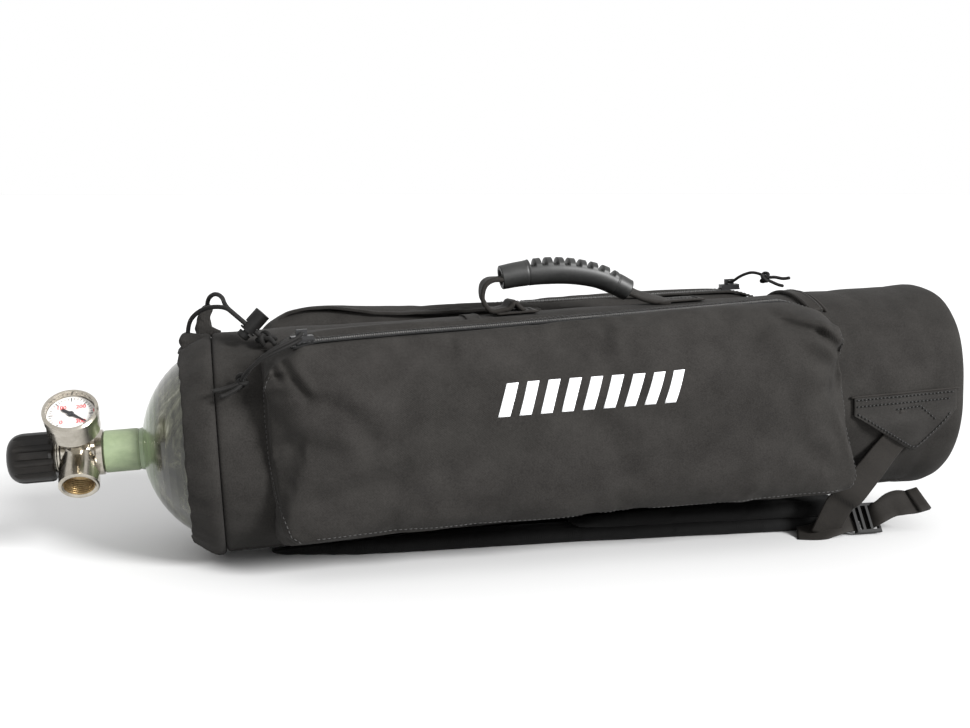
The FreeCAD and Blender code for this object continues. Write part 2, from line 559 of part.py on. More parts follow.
barrel = lock_cyl(-6.6, 11.4, 6.2).fuse(Part.makeSphere(6.2, LOCK_C + b_dir * 8.0))
barrel = barrel.cut(lock_cyl(11.4, 20, 8.0)).cut(lock_cyl(-7.0, 9.2, 4.8)).cut(lock_slot(-5.4, -0.6, 4.4))
nodes["cord_lock_barrel"] = tilted(barrel)
plunger = lock_cyl(-11.6, 1.4, 4.73).fuse(Part.makeTorus(3.4, 1.3, LOCK_C - b_dir * 11.4, b_dir))
plunger = plunger.cut(lock_slot(-8.2, -0.9, 4.3)).cut(lock_cyl(-0.6, 2.0, 3.2))
nodes["cord_lock_plunger"] = tilted(plunger)


def wire_coil(radius, wire_r, height, turns, per_turn=12, sides=6):
    """A compression spring about +Z, as a faceted sweep with closed ends."""
    rings = []
    count = int(turns * per_turn)
    for i in range(count + 1):
        t = 2 * math.pi * i / per_turn
        out = V(math.cos(t), math.sin(t), 0)
        spot = out * radius + V(0, 0, height * i / count)
        ring = []
        for k in range(sides):
            a = 2 * math.pi * k / sides
            ring.append(spot + out * (wire_r * math.cos(a)) + V(0, 0, wire_r * math.sin(a)))
        rings.append(ring)

    def facet(*corners):
        return Part.Face(Part.makePolygon(list(corners) + [corners[0]]))

    faces = [facet(*rings[0]), facet(*rings[-1])]
    for one, two in zip(rings, rings[1:]):
        for k in range(sides):
            m = (k + 1) % sides
            faces.append(facet(one[k], one[m], two[m]))
            faces.append(facet(one[k], two[m], two[k]))
    solid = Part.Solid(Part.Shell(faces))
    if solid.Volume < 0:
        solid.reverse()
    return solid


spring = wire_coil(2.7, 0.4, 8.7, 4.75)
spring.rotate(V(0, 0, 0), V(0, 1, 0), 45)
spring.translate(LOCK_C + b_dir * (-0.1))
nodes["cord_lock_spring"] = tilted(spring)

cross = LOCK_C + b_dir * (-3.0)
end_near = cross + c_dir * 9.5 + V(0, -2.1, 0)
end_far = cross + c_dir * 9.5 + V(0, 2.1, 0)
top_near = cross - c_dir * 19.5 + V(0, -2.1, 0)
top_far = cross - c_dir * 24.0 + V(0, 2.1, 0)
p_near = [V(14.0, -9.0, 86.5), V(20.5, -22.5, 105.0), top_near, end_near]
nodes["drawcord_near"] = tilted(cord("drawcord_near", p_near, CORD_D))
p_far = [V(30.0, 4.0, 105.0), V(32.5, -11.0, 119.0), top_far, end_far]
nodes["drawcord_far"] = tilted(cord("drawcord_far", p_far, CORD_D))
kc = cross + c_dir * 13.0
kt1 = Part.makeCylinder(CORD_D / 2, 9.0, kc + V(0, -2, 0), V(0.8, -0.35, -0.45))
kt2 = Part.makeCylinder(CORD_D / 2, 8.0, kc + V(0, 2, 0), V(0.9, 0.3, -0.2))
nodes["drawcord_knot"] = tilted(knot(kc, c_dir, 4.4, 6.0).fuse([kt1, kt2]))

# ---------------------------------------------------------------- patches, webbing and ladder locks
tri = Part.makePolygon([V(529, -120, 8.5), V(621, -120, 9.0), V(618, -120, -10), V(586, -120, -38), V(582, -120, -38),
                        V(530, -120, -8), V(529, -120, 8.5)])
patch = Part.Face(tri).extrude(V(0, 120, 0)).common(tube_x(500, 640, BAG_R + 2.2, BAG_R + 0.1))
nodes["near_anchor_patch"] = tilted(patch)
nodes["far_anchor_patch"] = tilted(mirrored(patch))


def to_row(p):
    """A bag-frame point in the floor frame, before the common shift."""
    t = math.radians(TILT)
    return V(p.x * math.cos(t) - p.z * math.sin(t), p.y, p.x * math.sin(t) + p.z * math.cos(t) + AXIS_Z)


tube_cut = tilted(tube_x(-20, 700, BAG_R + 2.6))
tube_cut.translate(V(-SHIFT_X, 0, 0))
pocket_cut = tilted(pocket)
pocket_cut.translate(V(-SHIFT_X, 0, 0))

wd = V(0.84, 0, -0.54)
a = to_row(V(565.5, -90.6, -25.0))
down = V(-0.54, 0, -0.84)
mids = [a, a + down * 22 + V(0, 0.6, 0), a + down * 60 + V(0, 12, 0), a + down * 89 + V(0, 27, 0)]
web1 = band(bend(mids), WEB_T, WEB_W, wd)
floor_cut = Part.makeBox(900, 400, 60, V(0, -200, -60))
web1 = web1.cut(floor_cut)
lean = V(0, 0.6, 0.8)
web2 = band([V(508.0, -61.0, 10.6), V(546.8, -60.0, 12.0)], WEB_T, 21.0, lean)
web = web1.fuse(web2).cut(tube_cut)
nodes["near_lower_webbing"] = floored(web)
nodes["far_lower_webbing"] = floored(mirrored(web))


def leaning(shape, at):
    """Stand a plate built flat in XY up, leaning back on the strap, centred on a floor-frame point."""
    q = shape.copy()
    q.rotate(V(0, 0, 0), V(1, 0, 0), 53.13)
    q.translate(at)
    return q


# ladder lock: a plate with two flat bars, a round bar that the strap's loop turns on, and a thumb lip
frame = Part.makeBox(22.2, 26.0, 3.6, V(-12.0, -13.0, -1.8))
for x0 in (-9.4, -2.6, 4.0):
    frame = frame.cut(Part.makeBox(4.4, 21.0, 8.0, V(x0, -10.5, -4.0)))
frame = frame.cut(Part.makeBox(6.0, 21.0, 8.0, V(8.4, -10.5, -4.0)))
frame = frame.fuse(Part.makeCylinder(1.8, 26.0, V(BAR_X, -13.0, 0), V(0, 1, 0)))
frame = frame.fuse(Part.makeBox(2.6, 26.0, 2.4, V(-12.0, -13.0, 1.6))).removeSplitter()
lad = leaning(frame, LOCK_AT)
nodes["near_ladder_lock"] = floored(lad)
nodes["far_ladder_lock"] = floored(mirrored(lad))
flat = V(0, 0.8, 0.6)
tailp = [V(570.6, -60.0, 22.4), V(588.0, -62.4, 25.6), V(610.0, -63.0, 26.4)]
tailw = band(bend(tailp), WEB_T, WEB_W, flat)
tailw = tailw.fuse(band([V(599.0, -61.8, 24.8), V(610.0, -61.8, 24.8)], WEB_T, WEB_W, flat)).cut(tube_cut)
nodes["near_webbing_tail"] = floored(tailw)
nodes["far_webbing_tail"] = floored(mirrored(tailw))
loop = band(bend([V(556.3, -40.0, 12.0), V(568.0, -42.0, 12.0), V(572.4, -49.0, 12.0), V(572.4, -58.0, 12.0)]),
            WEB_T, 14.0, V(0, 0, 1))
nodes["near_strap_loop"] = floored(loop)
nodes["far_strap_loop"] = floored(mirrored(loop))

# ---------------------------------------------------------------- shoulder straps, folded flat under the bag
lower = Part.makePolygon([V(64, -24, 0), V(140, -38, 0), V(300, -42, 0), V(505, -52, 0), V(556, -50, 0), V(556, -6, 0),
                          V(64, -3, 0), V(64, -24, 0)])
low_run = Part.Face(lower).extrude(V(0, 0, STRAP_T))
upper = Part.makePolygon([V(330, -44, STRAP_T), V(505, -53, STRAP_T), V(556, -50, STRAP_T), V(556, -6, STRAP_T),
                          V(330, -6, STRAP_T), V(330, -44, STRAP_T)])
up_run = Part.Face(upper).extrude(V(0, 0, STRAP_T))
tube_top = tilted(tube_x(-20, 700, BAG_R + 0.05))
tube_top.translate(V(-SHIFT_X, 0, 0))
strap = low_run.fuse(up_run).cut(tube_top).cut(pocket_cut)
keep = sorted(strap.Solids, key=lambda s: s.Volume)[-1]
nodes["near_shoulder_strap"] = floored(keep)
nodes["far_shoulder_strap"] = floored(mirrored(keep))

# ---------------------------------------------------------------- write
CORDS = {"drawcord_near", "drawcord_far", "drawcord_knot", "near_pull_cord", "near_pull_knot", "far_pull_cord",
         "far_pull_knot"}
box = FreeCAD.BoundBox()
for name, shape in sorted(nodes.items()):
    bad = [s for s in shape.Solids if not s.isValid()]
    if bad or not shape.Solids:
        print("CHECK", name, len(shape.Solids), len(bad))
    if name not in CORDS:
        box.add(shape.BoundBox)
    shape.exportStep("parts/" + name + ".step")
print("nodes", len(nodes))
print("box x %.2f %.2f  y %.2f %.2f  z %.2f %.2f" % (box.XMin, box.XMax, box.YMin, box.YMax, box.ZMin, box.ZMax))
print("shift error", round((box.XMin + box.XMax) / 2, 3))
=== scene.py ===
import json
import math

import bmesh
import bpy
import numpy as np
from mathutils import Matrix, Vector, noise
from mathutils.bvhtree import BVHTree
from mathutils.kdtree import KDTree


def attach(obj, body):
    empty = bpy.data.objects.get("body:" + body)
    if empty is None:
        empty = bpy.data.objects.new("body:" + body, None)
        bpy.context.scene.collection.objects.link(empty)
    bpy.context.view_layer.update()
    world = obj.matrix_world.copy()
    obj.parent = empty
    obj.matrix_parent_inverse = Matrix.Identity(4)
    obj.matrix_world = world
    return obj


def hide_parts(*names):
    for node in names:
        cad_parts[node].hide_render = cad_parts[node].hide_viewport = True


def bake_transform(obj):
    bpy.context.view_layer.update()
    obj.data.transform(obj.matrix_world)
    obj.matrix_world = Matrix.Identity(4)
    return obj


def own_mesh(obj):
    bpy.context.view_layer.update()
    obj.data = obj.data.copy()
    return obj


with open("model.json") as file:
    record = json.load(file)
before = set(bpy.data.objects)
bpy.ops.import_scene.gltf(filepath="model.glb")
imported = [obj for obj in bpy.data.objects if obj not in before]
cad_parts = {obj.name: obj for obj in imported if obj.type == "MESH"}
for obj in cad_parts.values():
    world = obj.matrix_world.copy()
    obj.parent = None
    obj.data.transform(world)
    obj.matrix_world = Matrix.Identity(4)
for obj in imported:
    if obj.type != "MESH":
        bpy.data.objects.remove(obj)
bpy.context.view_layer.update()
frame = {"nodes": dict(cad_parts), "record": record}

# ------------------------------------------------------------------ sizes (bag axes, millimetres)
TILT = math.radians(2.5)      # the bag lies nose-down by this much
AXIS_Z = 89.0                 # its axis at the lip, above the floor
SHIFT_X = -253.65             # from the lip to the frame's origin
BAG_R = 86.0
LINING_R = 81.9               # inside of the bag's padding
ZIP_A = Vector((98.0, -90.0, 84.0))
ZIP_B = Vector((501.0, -50.0, 86.4))
CORD_D = 3.4
PULL_D = 2.6
EYE_UP = 8.1                  # a slider's cord eye, over the zip
EYE_NEAR, EYE_FAR = -4.0, 388.0   # where the eyes are along the zips
VALVE_X = -74.5               # middle of the gauge and the outlet
GAUGE_TURN, OUTLET_TURN = math.radians(40.0), math.radians(130.0)
GAUGE_FACE = 51.0             # gauge glass, from the spindle axis
DIAL_DROP = 3.55              # from the glass down to the dial
OUTLET_REACH = 31.5           # outlet's mouth, from the spindle axis
POCKET_BACK_R = 86.8          # radius of a pocket's back
PANEL_Y, PANEL_CROWN = 97.0, 10.0  # front panel's distance from the axis, and how far it bulges
MIRROR_X = 585.0              # the far pocket has the near one's creases end for end

# metres
FLOOR_GAP = 0.0003            # the least height of any point
WEAVE_R = 0.1                 # radius that the weave's round threads are spaced at
POCKET_VOXEL, STRAP_VOXEL = 0.0042, 0.004
POCKET_CAP, STRAP_CAP = 0.007, 0.0015   # how far a simulated point may move
WEB_T = 0.0018                # thickness of webbing

WHICH = {-1: "near", 1: "far"}
MATS = {}


def row(x, y, z):
    """A point given in bag axes, in the frame's axes and metres."""
    c, s = math.cos(TILT), math.sin(TILT)
    return Vector(((x * c - z * s + SHIFT_X) / 1000, y / 1000, (x * s + z * c + AXIS_Z) / 1000))


def in_frame(points):
    return [row(*p) for p in points]


def ground(x, y, z):
    """A point given in floor axes from the lip, in the frame's axes and metres."""
    return Vector(((x + SHIFT_X) / 1000, y / 1000, z / 1000))


# ------------------------------------------------------------------ node helpers
class Shade:
    """A material under construction, with short names for the nodes it needs."""

    def __init__(self, name):
        self.mat = MATS[name] = bpy.data.materials.new(name)
        self.mat.use_nodes = True
        self.tree = self.mat.node_tree
        self.tree.nodes.clear()
        self.out = self.add("ShaderNodeOutputMaterial")
        self.bsdf = self.add("ShaderNodeBsdfPrincipled")
        self.link(self.bsdf.outputs[0], self.out.inputs[0])
        self.coord = self.add("ShaderNodeTexCoord").outputs["Object"]

    def add(self, kind, **props):
        node = self.tree.nodes.new(kind)
        for key, value in props.items():
            setattr(node, key, value)
        return node

    def link(self, a, b):
        self.tree.links.new(a, b)

    def set(self, **values):
        for key, value in values.items():
            self.bsdf.inputs[key.replace("_", " ")].default_value = value

    def put(self, name, socket):
        self.link(socket, self.bsdf.inputs[name])

    def math(self, op, a, b=None, clamp=False):
        node = self.add("ShaderNodeMath", operation=op, use_clamp=clamp)
        for i, v in enumerate((a, b)):
            if v is None:
                continue
            if isinstance(v, (int, float)):
                node.inputs[i].default_value = v
            else:
                self.link(v, node.inputs[i])
        return node.outputs[0]

    def noise(self, scale, detail=2.0, rough=0.5, stretch=None, distort=0.0):
        where = self.coord
        if stretch is not None:
            where = self.node("ShaderNodeMapping", where, Scale=stretch).outputs[0]
        return self.node("ShaderNodeTexNoise", where, Scale=scale, Detail=detail, Roughness=rough,
                         Distortion=distort).outputs["Fac"]

    def bands(self, direction, scale, distort=0.0):
        return self.node("ShaderNodeTexWave", self.coord, {"wave_type": "BANDS", "bands_direction": direction},
                         Scale=scale, Distortion=distort).outputs["Fac"]

    def node(self, kind, vector, props={}, **inputs):
        """A texture or mapping node on a vector, with its inputs set."""
        node = self.add(kind, **props)
        for key, value in inputs.items():
            node.inputs[key].default_value = value
        self.link(vector, node.inputs["Vector"])
        return node

    def mixed(self, *parts):
        """The sum of (socket, weight) pairs."""
        total = None
        for socket, weight in parts:
            part = self.math("MULTIPLY", socket, weight)
            total = part if total is None else self.math("ADD", total, part)
        return total

    def ramp(self, fac, stops):
        """A colour ramp; a stop's colour is three numbers, or one for a grey."""
        node = self.add("ShaderNodeValToRGB")
        ramp = node.color_ramp
        while len(ramp.elements) < len(stops):
            ramp.elements.new(0.5)
        for el, (pos, col) in zip(ramp.elements, stops):
            el.position = pos
            el.color = (*col, 1.0) if isinstance(col, tuple) else (col, col, col, 1.0)
        self.link(fac, node.inputs[0])
        return node.outputs[0]

    def span(self, fac, lo, hi, a=0.0, b=1.0):
        node = self.add("ShaderNodeMapRange")
        for key, value in (("From Min", a), ("From Max", b), ("To Min", lo), ("To Max", hi)):
            node.inputs[key].default_value = value
        self.link(fac, node.inputs["Value"])
        return node.outputs[0]

    def bump(self, height, strength, distance, under=None):
        node = self.add("ShaderNodeBump")
        node.inputs["Strength"].default_value = strength
        node.inputs["Distance"].default_value = distance
        self.link(height, node.inputs["Height"])
        if under is not None:
            self.link(under, node.inputs["Normal"])
        return node.outputs[0]


def weave(sh, pitch):
    """Plain weave: threads along the bag and round it, as heights from 0 to 1."""
    split = sh.add("ShaderNodeSeparateXYZ")
    sh.link(sh.coord, split.inputs[0])
    x, y, z = split.outputs
    turn = sh.math("ARCTAN2", y, sh.math("SUBTRACT", z, AXIS_Z / 1000))
    a = sh.math("SINE", sh.math("MULTIPLY", x, 2 * math.pi / pitch))
    b = sh.math("SINE", sh.math("MULTIPLY", turn, 2 * math.pi * WEAVE_R / pitch))
    return sh.span(sh.math("MULTIPLY", a, b), 0.0, 1.0, -1.0, 1.0)


def fabric(name, dark, light, pitch=0.0011, depth=0.00022):
    """Coated polyester: woven grain, mottled dye and a soft sheen."""
    sh = Shade(name)
    w = weave(sh, pitch)
    grain = sh.noise(900.0, 3.0, 0.7)
    mix = sh.mixed((w, 0.26), (grain, 0.44), (sh.noise(38.0, 3.0, 0.55), 0.3))
    sh.put("Base Color", sh.ramp(mix, [(0.32, dark), (0.68, light)]))
    sh.put("Roughness", sh.span(mix, 0.76, 0.92))
    sh.set(Sheen_Weight=0.02, Sheen_Roughness=0.45, Specular_IOR_Level=0.07)
    pucker = sh.noise(26.0, 3.0, 0.45, distort=0.3)
    sh.put("Normal", sh.bump(sh.mixed((w, 0.6), (grain, 0.4)), 0.7, depth, sh.bump(pucker, 0.6, 0.003)))


def webbing(name, dark, light):
    """Woven harness webbing, with fine cross ribs."""
    sh = Shade(name)
    mix = sh.mixed((sh.bands("DIAGONAL", 620.0, 0.4), 0.5), (sh.noise(700.0, 2.0, 0.6), 0.5))
    sh.put("Base Color", sh.ramp(mix, [(0.2, dark), (0.8, light)]))
    sh.put("Roughness", sh.span(mix, 0.62, 0.82))
    sh.set(Sheen_Weight=0.03, Sheen_Roughness=0.4, Specular_IOR_Level=0.16)
    sh.put("Normal", sh.bump(mix, 0.4, 0.00018))


def moulded(name, dark, light, rough=0.45, scale=500.0, depth=0.00008, gloss=0.5):
    """Moulded plastic or rubber with a fine spark texture and a few scuffs."""
    sh = Shade(name)
    grain = sh.noise(scale, 3.0, 0.6)
    mix = sh.mixed((grain, 0.35), (sh.noise(60.0, 4.0, 0.7, stretch=(1.0, 1.0, 2.5)), 0.65))
    sh.put("Base Color", sh.ramp(mix, [(0.3, dark), (0.72, light)]))
    sh.put("Roughness", sh.span(mix, rough - 0.1, rough + 0.16))
    sh.set(Specular_IOR_Level=gloss)
    sh.put("Normal", sh.bump(grain, 0.3, depth))


def metal(name, colour, rough, stain, turned=0.0):
    """Plated or machined metal: fingerprints, faint tool marks, slightly varied gloss."""
    sh = Shade(name)
    fine = sh.noise(810.0, 2.0, 0.5)
    mix = sh.mixed((sh.noise(90.0, 4.0, 0.65), 0.8), (fine, 0.2))
    sh.put("Base Color", sh.ramp(mix, [(0.35, stain), (0.62, colour)]))
    sh.put("Roughness", sh.span(mix, rough * 1.7, rough * 0.7, 0.3, 0.7))
    sh.set(Metallic=1.0)
    if turned:
        sh.put("Normal", sh.bump(sh.bands("X", 1.0 / turned), 0.12, 0.00005))
    else:
        sh.put("Normal", sh.bump(fine, 0.04, 0.00004))


def composite():
    """Glass-fibre overwrap in clear resin: pale green-grey, with long crossing fibres under the gloss."""
    sh = Shade("composite")
    one = sh.noise(26.0, 5.0, 0.72, stretch=(1.0, 3.5, 1.0), distort=1.2)
    two = sh.noise(60.0, 5.0, 0.7, stretch=(2.6, 1.0, 0.7), distort=0.8)
    mix = sh.mixed((one, 0.45), (two, 0.3), (sh.noise(16.0, 3.0, 0.6), 0.25))
    fibre = sh.ramp(mix, [(0.4, (0.006, 0.0065, 0.004)), (0.48, (0.022, 0.023, 0.014)),
                          (0.56, (0.08, 0.082, 0.054)), (0.66, (0.27, 0.27, 0.21))])
    near_neck = sh.add("ShaderNodeSeparateXYZ")
    sh.link(sh.coord, near_neck.inputs[0])
    resin = sh.span(near_neck.outputs[0], 1.0, 0.0, (SHIFT_X - 26.0) / 1000, (SHIFT_X - 13.0) / 1000)
    tint = sh.add("ShaderNodeMix", data_type="RGBA")
    sh.link(resin, tint.inputs["Factor"])
    sh.link(fibre, tint.inputs["A"])
    tint.inputs["B"].default_value = (0.15, 0.2, 0.11, 1.0)
    sh.put("Base Color", tint.outputs["Result"])
    sh.put("Roughness", sh.span(two, 0.16, 0.32))
    sh.set(Coat_Weight=0.4, Coat_Roughness=0.1, Subsurface_Weight=0.05, Specular_IOR_Level=0.5,
           Subsurface_Radius=(0.004, 0.006, 0.004))
    sh.put("Normal", sh.bump(two, 0.25, 0.0006))


def glass():
    sh = Shade("lens")
    sh.put("Roughness", sh.span(sh.noise(120.0, 3.0, 0.6), 0.01, 0.05))
    sh.set(Base_Color=(0.96, 0.98, 0.98, 1.0), Transmission_Weight=1.0, IOR=1.1, Alpha=0.12)

def make_materials():
    fabric("fabric", (0.008, 0.0074, 0.0068), (0.0305, 0.0287, 0.0268))
    # strap fabric: a near-black cloth made darker still as painted shade, standing in for the shadow the strap lies in
    # under the pocket
    fabric("strap_fabric", 0.003, 0.009, pitch=0.0018, depth=0.0004)
    fabric("patch", (0.0092, 0.0086, 0.008), (0.032, 0.0305, 0.0288), pitch=0.0009)
    fabric("foam", 0.05, 0.12, pitch=0.003)
    fabric("zip_tape", 0.006, 0.016, pitch=0.0008)
    webbing("webbing", (0.005, 0.0044, 0.0038), (0.02, 0.0176, 0.0152))
    webbing("cord", (0.003, 0.0029, 0.0028), (0.012, 0.0114, 0.0108))
    moulded("rubber", (0.0022, 0.0018, 0.0015), (0.009, 0.0076, 0.0064), rough=0.36, gloss=0.22)
    moulded("grip_rubber", (0.009, 0.0092, 0.009), (0.022, 0.0222, 0.0216), rough=0.44, gloss=0.36)
    moulded("black_plastic", 0.002, (0.008, 0.0078, 0.0075), rough=0.45, gloss=0.2)
    moulded("sleeve", (0.13, 0.17, 0.095), (0.215, 0.262, 0.155), rough=0.38, scale=160.0)
    moulded("seat_plastic", (0.62, 0.6, 0.55), (0.8, 0.79, 0.74), rough=0.5)
    moulded("dial", (0.5, 0.48, 0.46), (0.57, 0.55, 0.53), rough=0.55, scale=900.0, depth=0.00002)
    moulded("dial_ink", (0.02, 0.02, 0.022), (0.04, 0.04, 0.045), rough=0.6)
    moulded("dial_red", (0.42, 0.03, 0.04), (0.55, 0.05, 0.06), rough=0.6)
    moulded("needle", (0.008, 0.008, 0.009), (0.02, 0.02, 0.022), rough=0.5)
    moulded("thread", (0.006, 0.0057, 0.0054), (0.02, 0.0192, 0.0185), rough=0.6)
    moulded("thread_dark", 0.003, 0.009, rough=0.6)
    moulded("seam_thread", (0.014, 0.0135, 0.013), (0.038, 0.037, 0.036), rough=0.6)
    moulded("zip_coil", (0.04, 0.039, 0.038), (0.13, 0.126, 0.12), rough=0.35)
    moulded("reflective", (0.72, 0.73, 0.74), (0.9, 0.9, 0.91), rough=0.42, scale=1400.0)
    metal("chrome", (0.5, 0.47, 0.41), 0.18, (0.36, 0.33, 0.28))
    metal("steel", (0.6, 0.6, 0.61), 0.3, 0.38, turned=0.002)
    metal("aluminium", (0.74, 0.74, 0.76), 0.32, (0.55, 0.55, 0.57), turned=0.003)
    metal("brass", (0.36, 0.26, 0.13), 0.3, (0.16, 0.1, 0.045))
    metal("slider_metal", (0.05, 0.05, 0.051), 0.36, (0.022, 0.022, 0.023))
    composite()
    glass()
make_materials()
SLOT_OF = {s["node"]: s["material_slot"] for s in frame["record"]["subparts"]}
SHARP = math.radians(32.0)    # edges over this are marked sharp for shading; a CAD mesh keeps its shape
for node, obj in frame["nodes"].items():
    obj.data.materials.clear()
    obj.data.materials.append(MATS[SLOT_OF[node]])
    obj.data.polygons.foreach_set("use_smooth", [True] * len(obj.data.polygons))
    obj.data.set_sharp_from_angle(angle=SHARP)
# ------------------------------------------------------------------ mesh helpers
def aimed(v):
    """A direction given in bag axes, in the frame's axes."""
    c, s = math.cos(TILT), math.sin(TILT)
    return Vector((v[0] * c - v[2] * s, v[1], v[0] * s + v[2] * c))


def bag_axes(p):
    """The reverse of row()."""
    c, s = math.cos(TILT), math.sin(TILT)
    x, z = p[0] * 1000 - SHIFT_X, p[2] * 1000 - AXIS_Z
    return Vector((x * c + z * s, p[1] * 1000, -x * s + z * c))


def piece(name, verts, faces, mat, smooth=True):
    """A mesh object from points in the frame, in metres."""
    me = bpy.data.meshes.new(name)
    me.from_pydata([(v[0], v[1], max(v[2], FLOOR_GAP)) for v in verts], [], faces)
    bm = bmesh.new()
    bm.from_mesh(me)
    bmesh.ops.recalc_face_normals(bm, faces=bm.faces)
    bm.to_mesh(me)
    bm.free()
    me.polygons.foreach_set("use_smooth", [smooth] * len(me.polygons))
    me.materials.append(MATS[mat])
    obj = bpy.data.objects.new(name, me)
    bpy.context.scene.collection.objects.link(obj)
    return obj
def put(obj, body, finish=None, *nodes):
    """Rides a piece on a body and hides the CAD nodes it stands for; finish is not used."""
    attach(obj, body)
    if nodes:
        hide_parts(*nodes)
    return obj

def grid(rows, cols, wrap=False):
    """Quads of a rows x cols sheet of points; wrap joins the last column to the first."""
    faces = []
    for i in range(rows - 1):
        for j in range(cols if wrap else cols - 1):
            k = (j + 1) % cols
            faces.append((i * cols + j, i * cols + k, (i + 1) * cols + k, (i + 1) * cols + j))
    return faces

def closed(rows, cols):
    """A wrapped grid with a cap at each end."""
    return grid(rows, cols, wrap=True) + [tuple(range(cols)), tuple((rows - 1) * cols + j for j in range(cols))]

def baked(obj):
    """Applies an object's modifiers to its mesh."""
    deps = bpy.context.evaluated_depsgraph_get()
    me = bpy.data.meshes.new_from_object(obj.evaluated_get(deps))
    obj.modifiers.clear()
    obj.data = me
    me.polygons.foreach_set("use_smooth", [True] * len(me.polygons))
    return obj


def spread(points, step):
    """A Catmull-Rom line through the points, with a point about every step metres."""
    pts = [Vector(p) for p in points]
    if len(pts) == 2:
        n = max(1, int((pts[1] - pts[0]).length / step))
        return [pts[0].lerp(pts[1], i / n) for i in range(n + 1)]
    ext = [pts[0] * 2 - pts[1]] + pts + [pts[-1] * 2 - pts[-2]]
    out = []
    for i in range(1, len(ext) - 2):
        a, b, c, d = ext[i - 1:i + 3]
        n = max(1, int((c - b).length / step))
        for k in range(n):
            t = k / n
            out.append(0.5 * ((2 * b) + (c - a) * t + (2 * a - 5 * b + 4 * c - d) * t * t
                              + (3 * b - a - 3 * c + d) * t ** 3))
    out.append(pts[-1])
    return out


def tube(name, points, radius, mat, sides=8, taper=0.0):
    """A round mesh tube with domed ends along a line of points."""
    pts = [Vector(p) for p in points]
    n = len(pts)
    dirs = [(pts[min(i + 1, n - 1)] - pts[max(i - 1, 0)]).normalized() for i in range(n)]
    side = dirs[0].orthogonal().normalized()
    rings = [(pts[0] - dirs[0] * radius * 0.6, dirs[0], 0.45)]
    rings += [(p, d, 1.0 - taper * i / n) for i, (p, d) in enumerate(zip(pts, dirs))]
    rings += [(pts[-1] + dirs[-1] * radius * 0.6, dirs[-1], 0.45 * (1.0 - taper))]
    verts = []
    for p, d, k in rings:
        side = (side - d * side.dot(d)).normalized()
        up = d.cross(side)
        for j in range(sides):
            a = 2 * math.pi * j / sides
            verts.append(p + (side * math.cos(a) + up * math.sin(a)) * radius * k)
    return piece(name, verts, closed(len(rings), sides), mat)

def ribbon(name, points, across, width, thick, mat, step=0.0025, ripple=0.0):
    """Flat webbing: points is its middle line, across the width direction at each point."""
    line = spread(points, step)
    total = len(line) - 1
    verts = []
    edge = [(-0.5, -0.28), (-0.5, 0.28), (-0.47, 0.5), (-0.25, 0.5), (0.0, 0.5), (0.25, 0.5), (0.47, 0.5),
            (0.5, 0.28), (0.5, -0.28), (0.47, -0.5), (0.25, -0.5), (0.0, -0.5), (-0.25, -0.5), (-0.47, -0.5)]
    for i, p in enumerate(line):
        f = i / total * (len(across) - 1)
        k = min(int(f), len(across) - 2) if len(across) > 1 else 0
        w = Vector(across[k]).lerp(Vector(across[min(k + 1, len(across) - 1)]), f - k).normalized()
        d = (line[min(i + 1, total)] - line[max(i - 1, 0)]).normalized()
        w = (w - d * w.dot(d)).normalized()
        nrm = d.cross(w)
        wob = ripple * noise.noise(p * 90.0)
        wide = width(i / total) if callable(width) else width
        for a, b in edge:
            cup = ripple * (a * a) * 1.5 * math.sin(i * 0.21)
            verts.append(p + w * a * wide + nrm * (b * thick + wob + cup))
    return piece(name, verts, closed(len(line), len(edge)), mat)

class Threads:
    """Collects short sewn stitches and makes one mesh of them."""

    def __init__(self):
        self.verts = []
        self.faces = []

    def stitch(self, a, b, up, r):
        d = (b - a).normalized()
        side = d.cross(up).normalized()
        base = len(self.verts)
        for t, k, lift in ((0.0, 0.5, -0.9), (0.16, 1.0, 0.15), (0.5, 1.05, 0.7), (0.84, 1.0, 0.15),
                           (1.0, 0.5, -0.9)):
            p = a.lerp(b, t) + up * r * lift
            for j in range(6):
                ang = math.pi * j / 3
                self.verts.append(p + (side * math.cos(ang) + up * math.sin(ang)) * r * k)
        for f in grid(5, 6, wrap=True):
            self.faces.append(tuple(base + v for v in f))

    def row(self, points, ups, pitch=0.0034, length=0.0025, r=0.00034):
        """Stitches along a polyline; ups are the surface directions at its points."""
        run = 0.0
        for i in range(len(points) - 1):
            a, b = Vector(points[i]), Vector(points[i + 1])
            seg = (b - a).length
            if seg < 1e-6:
                continue
            d = (b - a) / seg
            up = Vector(ups[i] if len(ups) > 1 else ups[0])
            up = (up - d * up.dot(d)).normalized()
            while run < seg:
                self.stitch(a + d * run, a + d * (run + length), up, r)
                run += pitch
            run -= seg

    def done(self, name, body, mat="thread"):
        put(piece(name, self.verts, self.faces, mat), body)


# ------------------------------------------------------------------ the bag's tube
def hum(x, y, z):
    return noise.noise(Vector((x, y, z)))


def smooth(a, b, t):
    t = max(0.0, min(1.0, (t - a) / (b - a)))
    return t * t * (3 - 2 * t)


def bell(t, width):
    return math.exp(-(t / width) ** 2)

def swell(x, turn):
    """Slack in the tube's fabric, in millimetres: broad billows and finer puckers."""
    a = math.radians(turn)
    c, s = math.cos(a), math.sin(a)
    broad = hum(x * 0.01, s * 1.2, c * 1.2) * 1.5
    fine = hum(x * 0.034 + 9.0, s * 3.4, c * 3.4) * 0.55
    fold = max(0.0, 1.0 - abs(x - 560.0) / 46.0) * hum(x * 0.05, turn * 0.035, 4.0) * 1.6
    return (broad + fine + fold) * min(1.0, (x - 28.0) / 18.0) if x > 28.0 else 0.0

def around(x, r, a):
    """A point at radius r round the bag's axis, a radians from the top towards the near side."""
    return row(x, -r * math.sin(a), r * math.cos(a))


def on_tube(x, turn, lift=0.0):
    """A point on the tube's fabric; turn in degrees from the top, towards the near side."""
    return around(x, BAG_R + swell(x, turn) + lift, math.radians(turn))


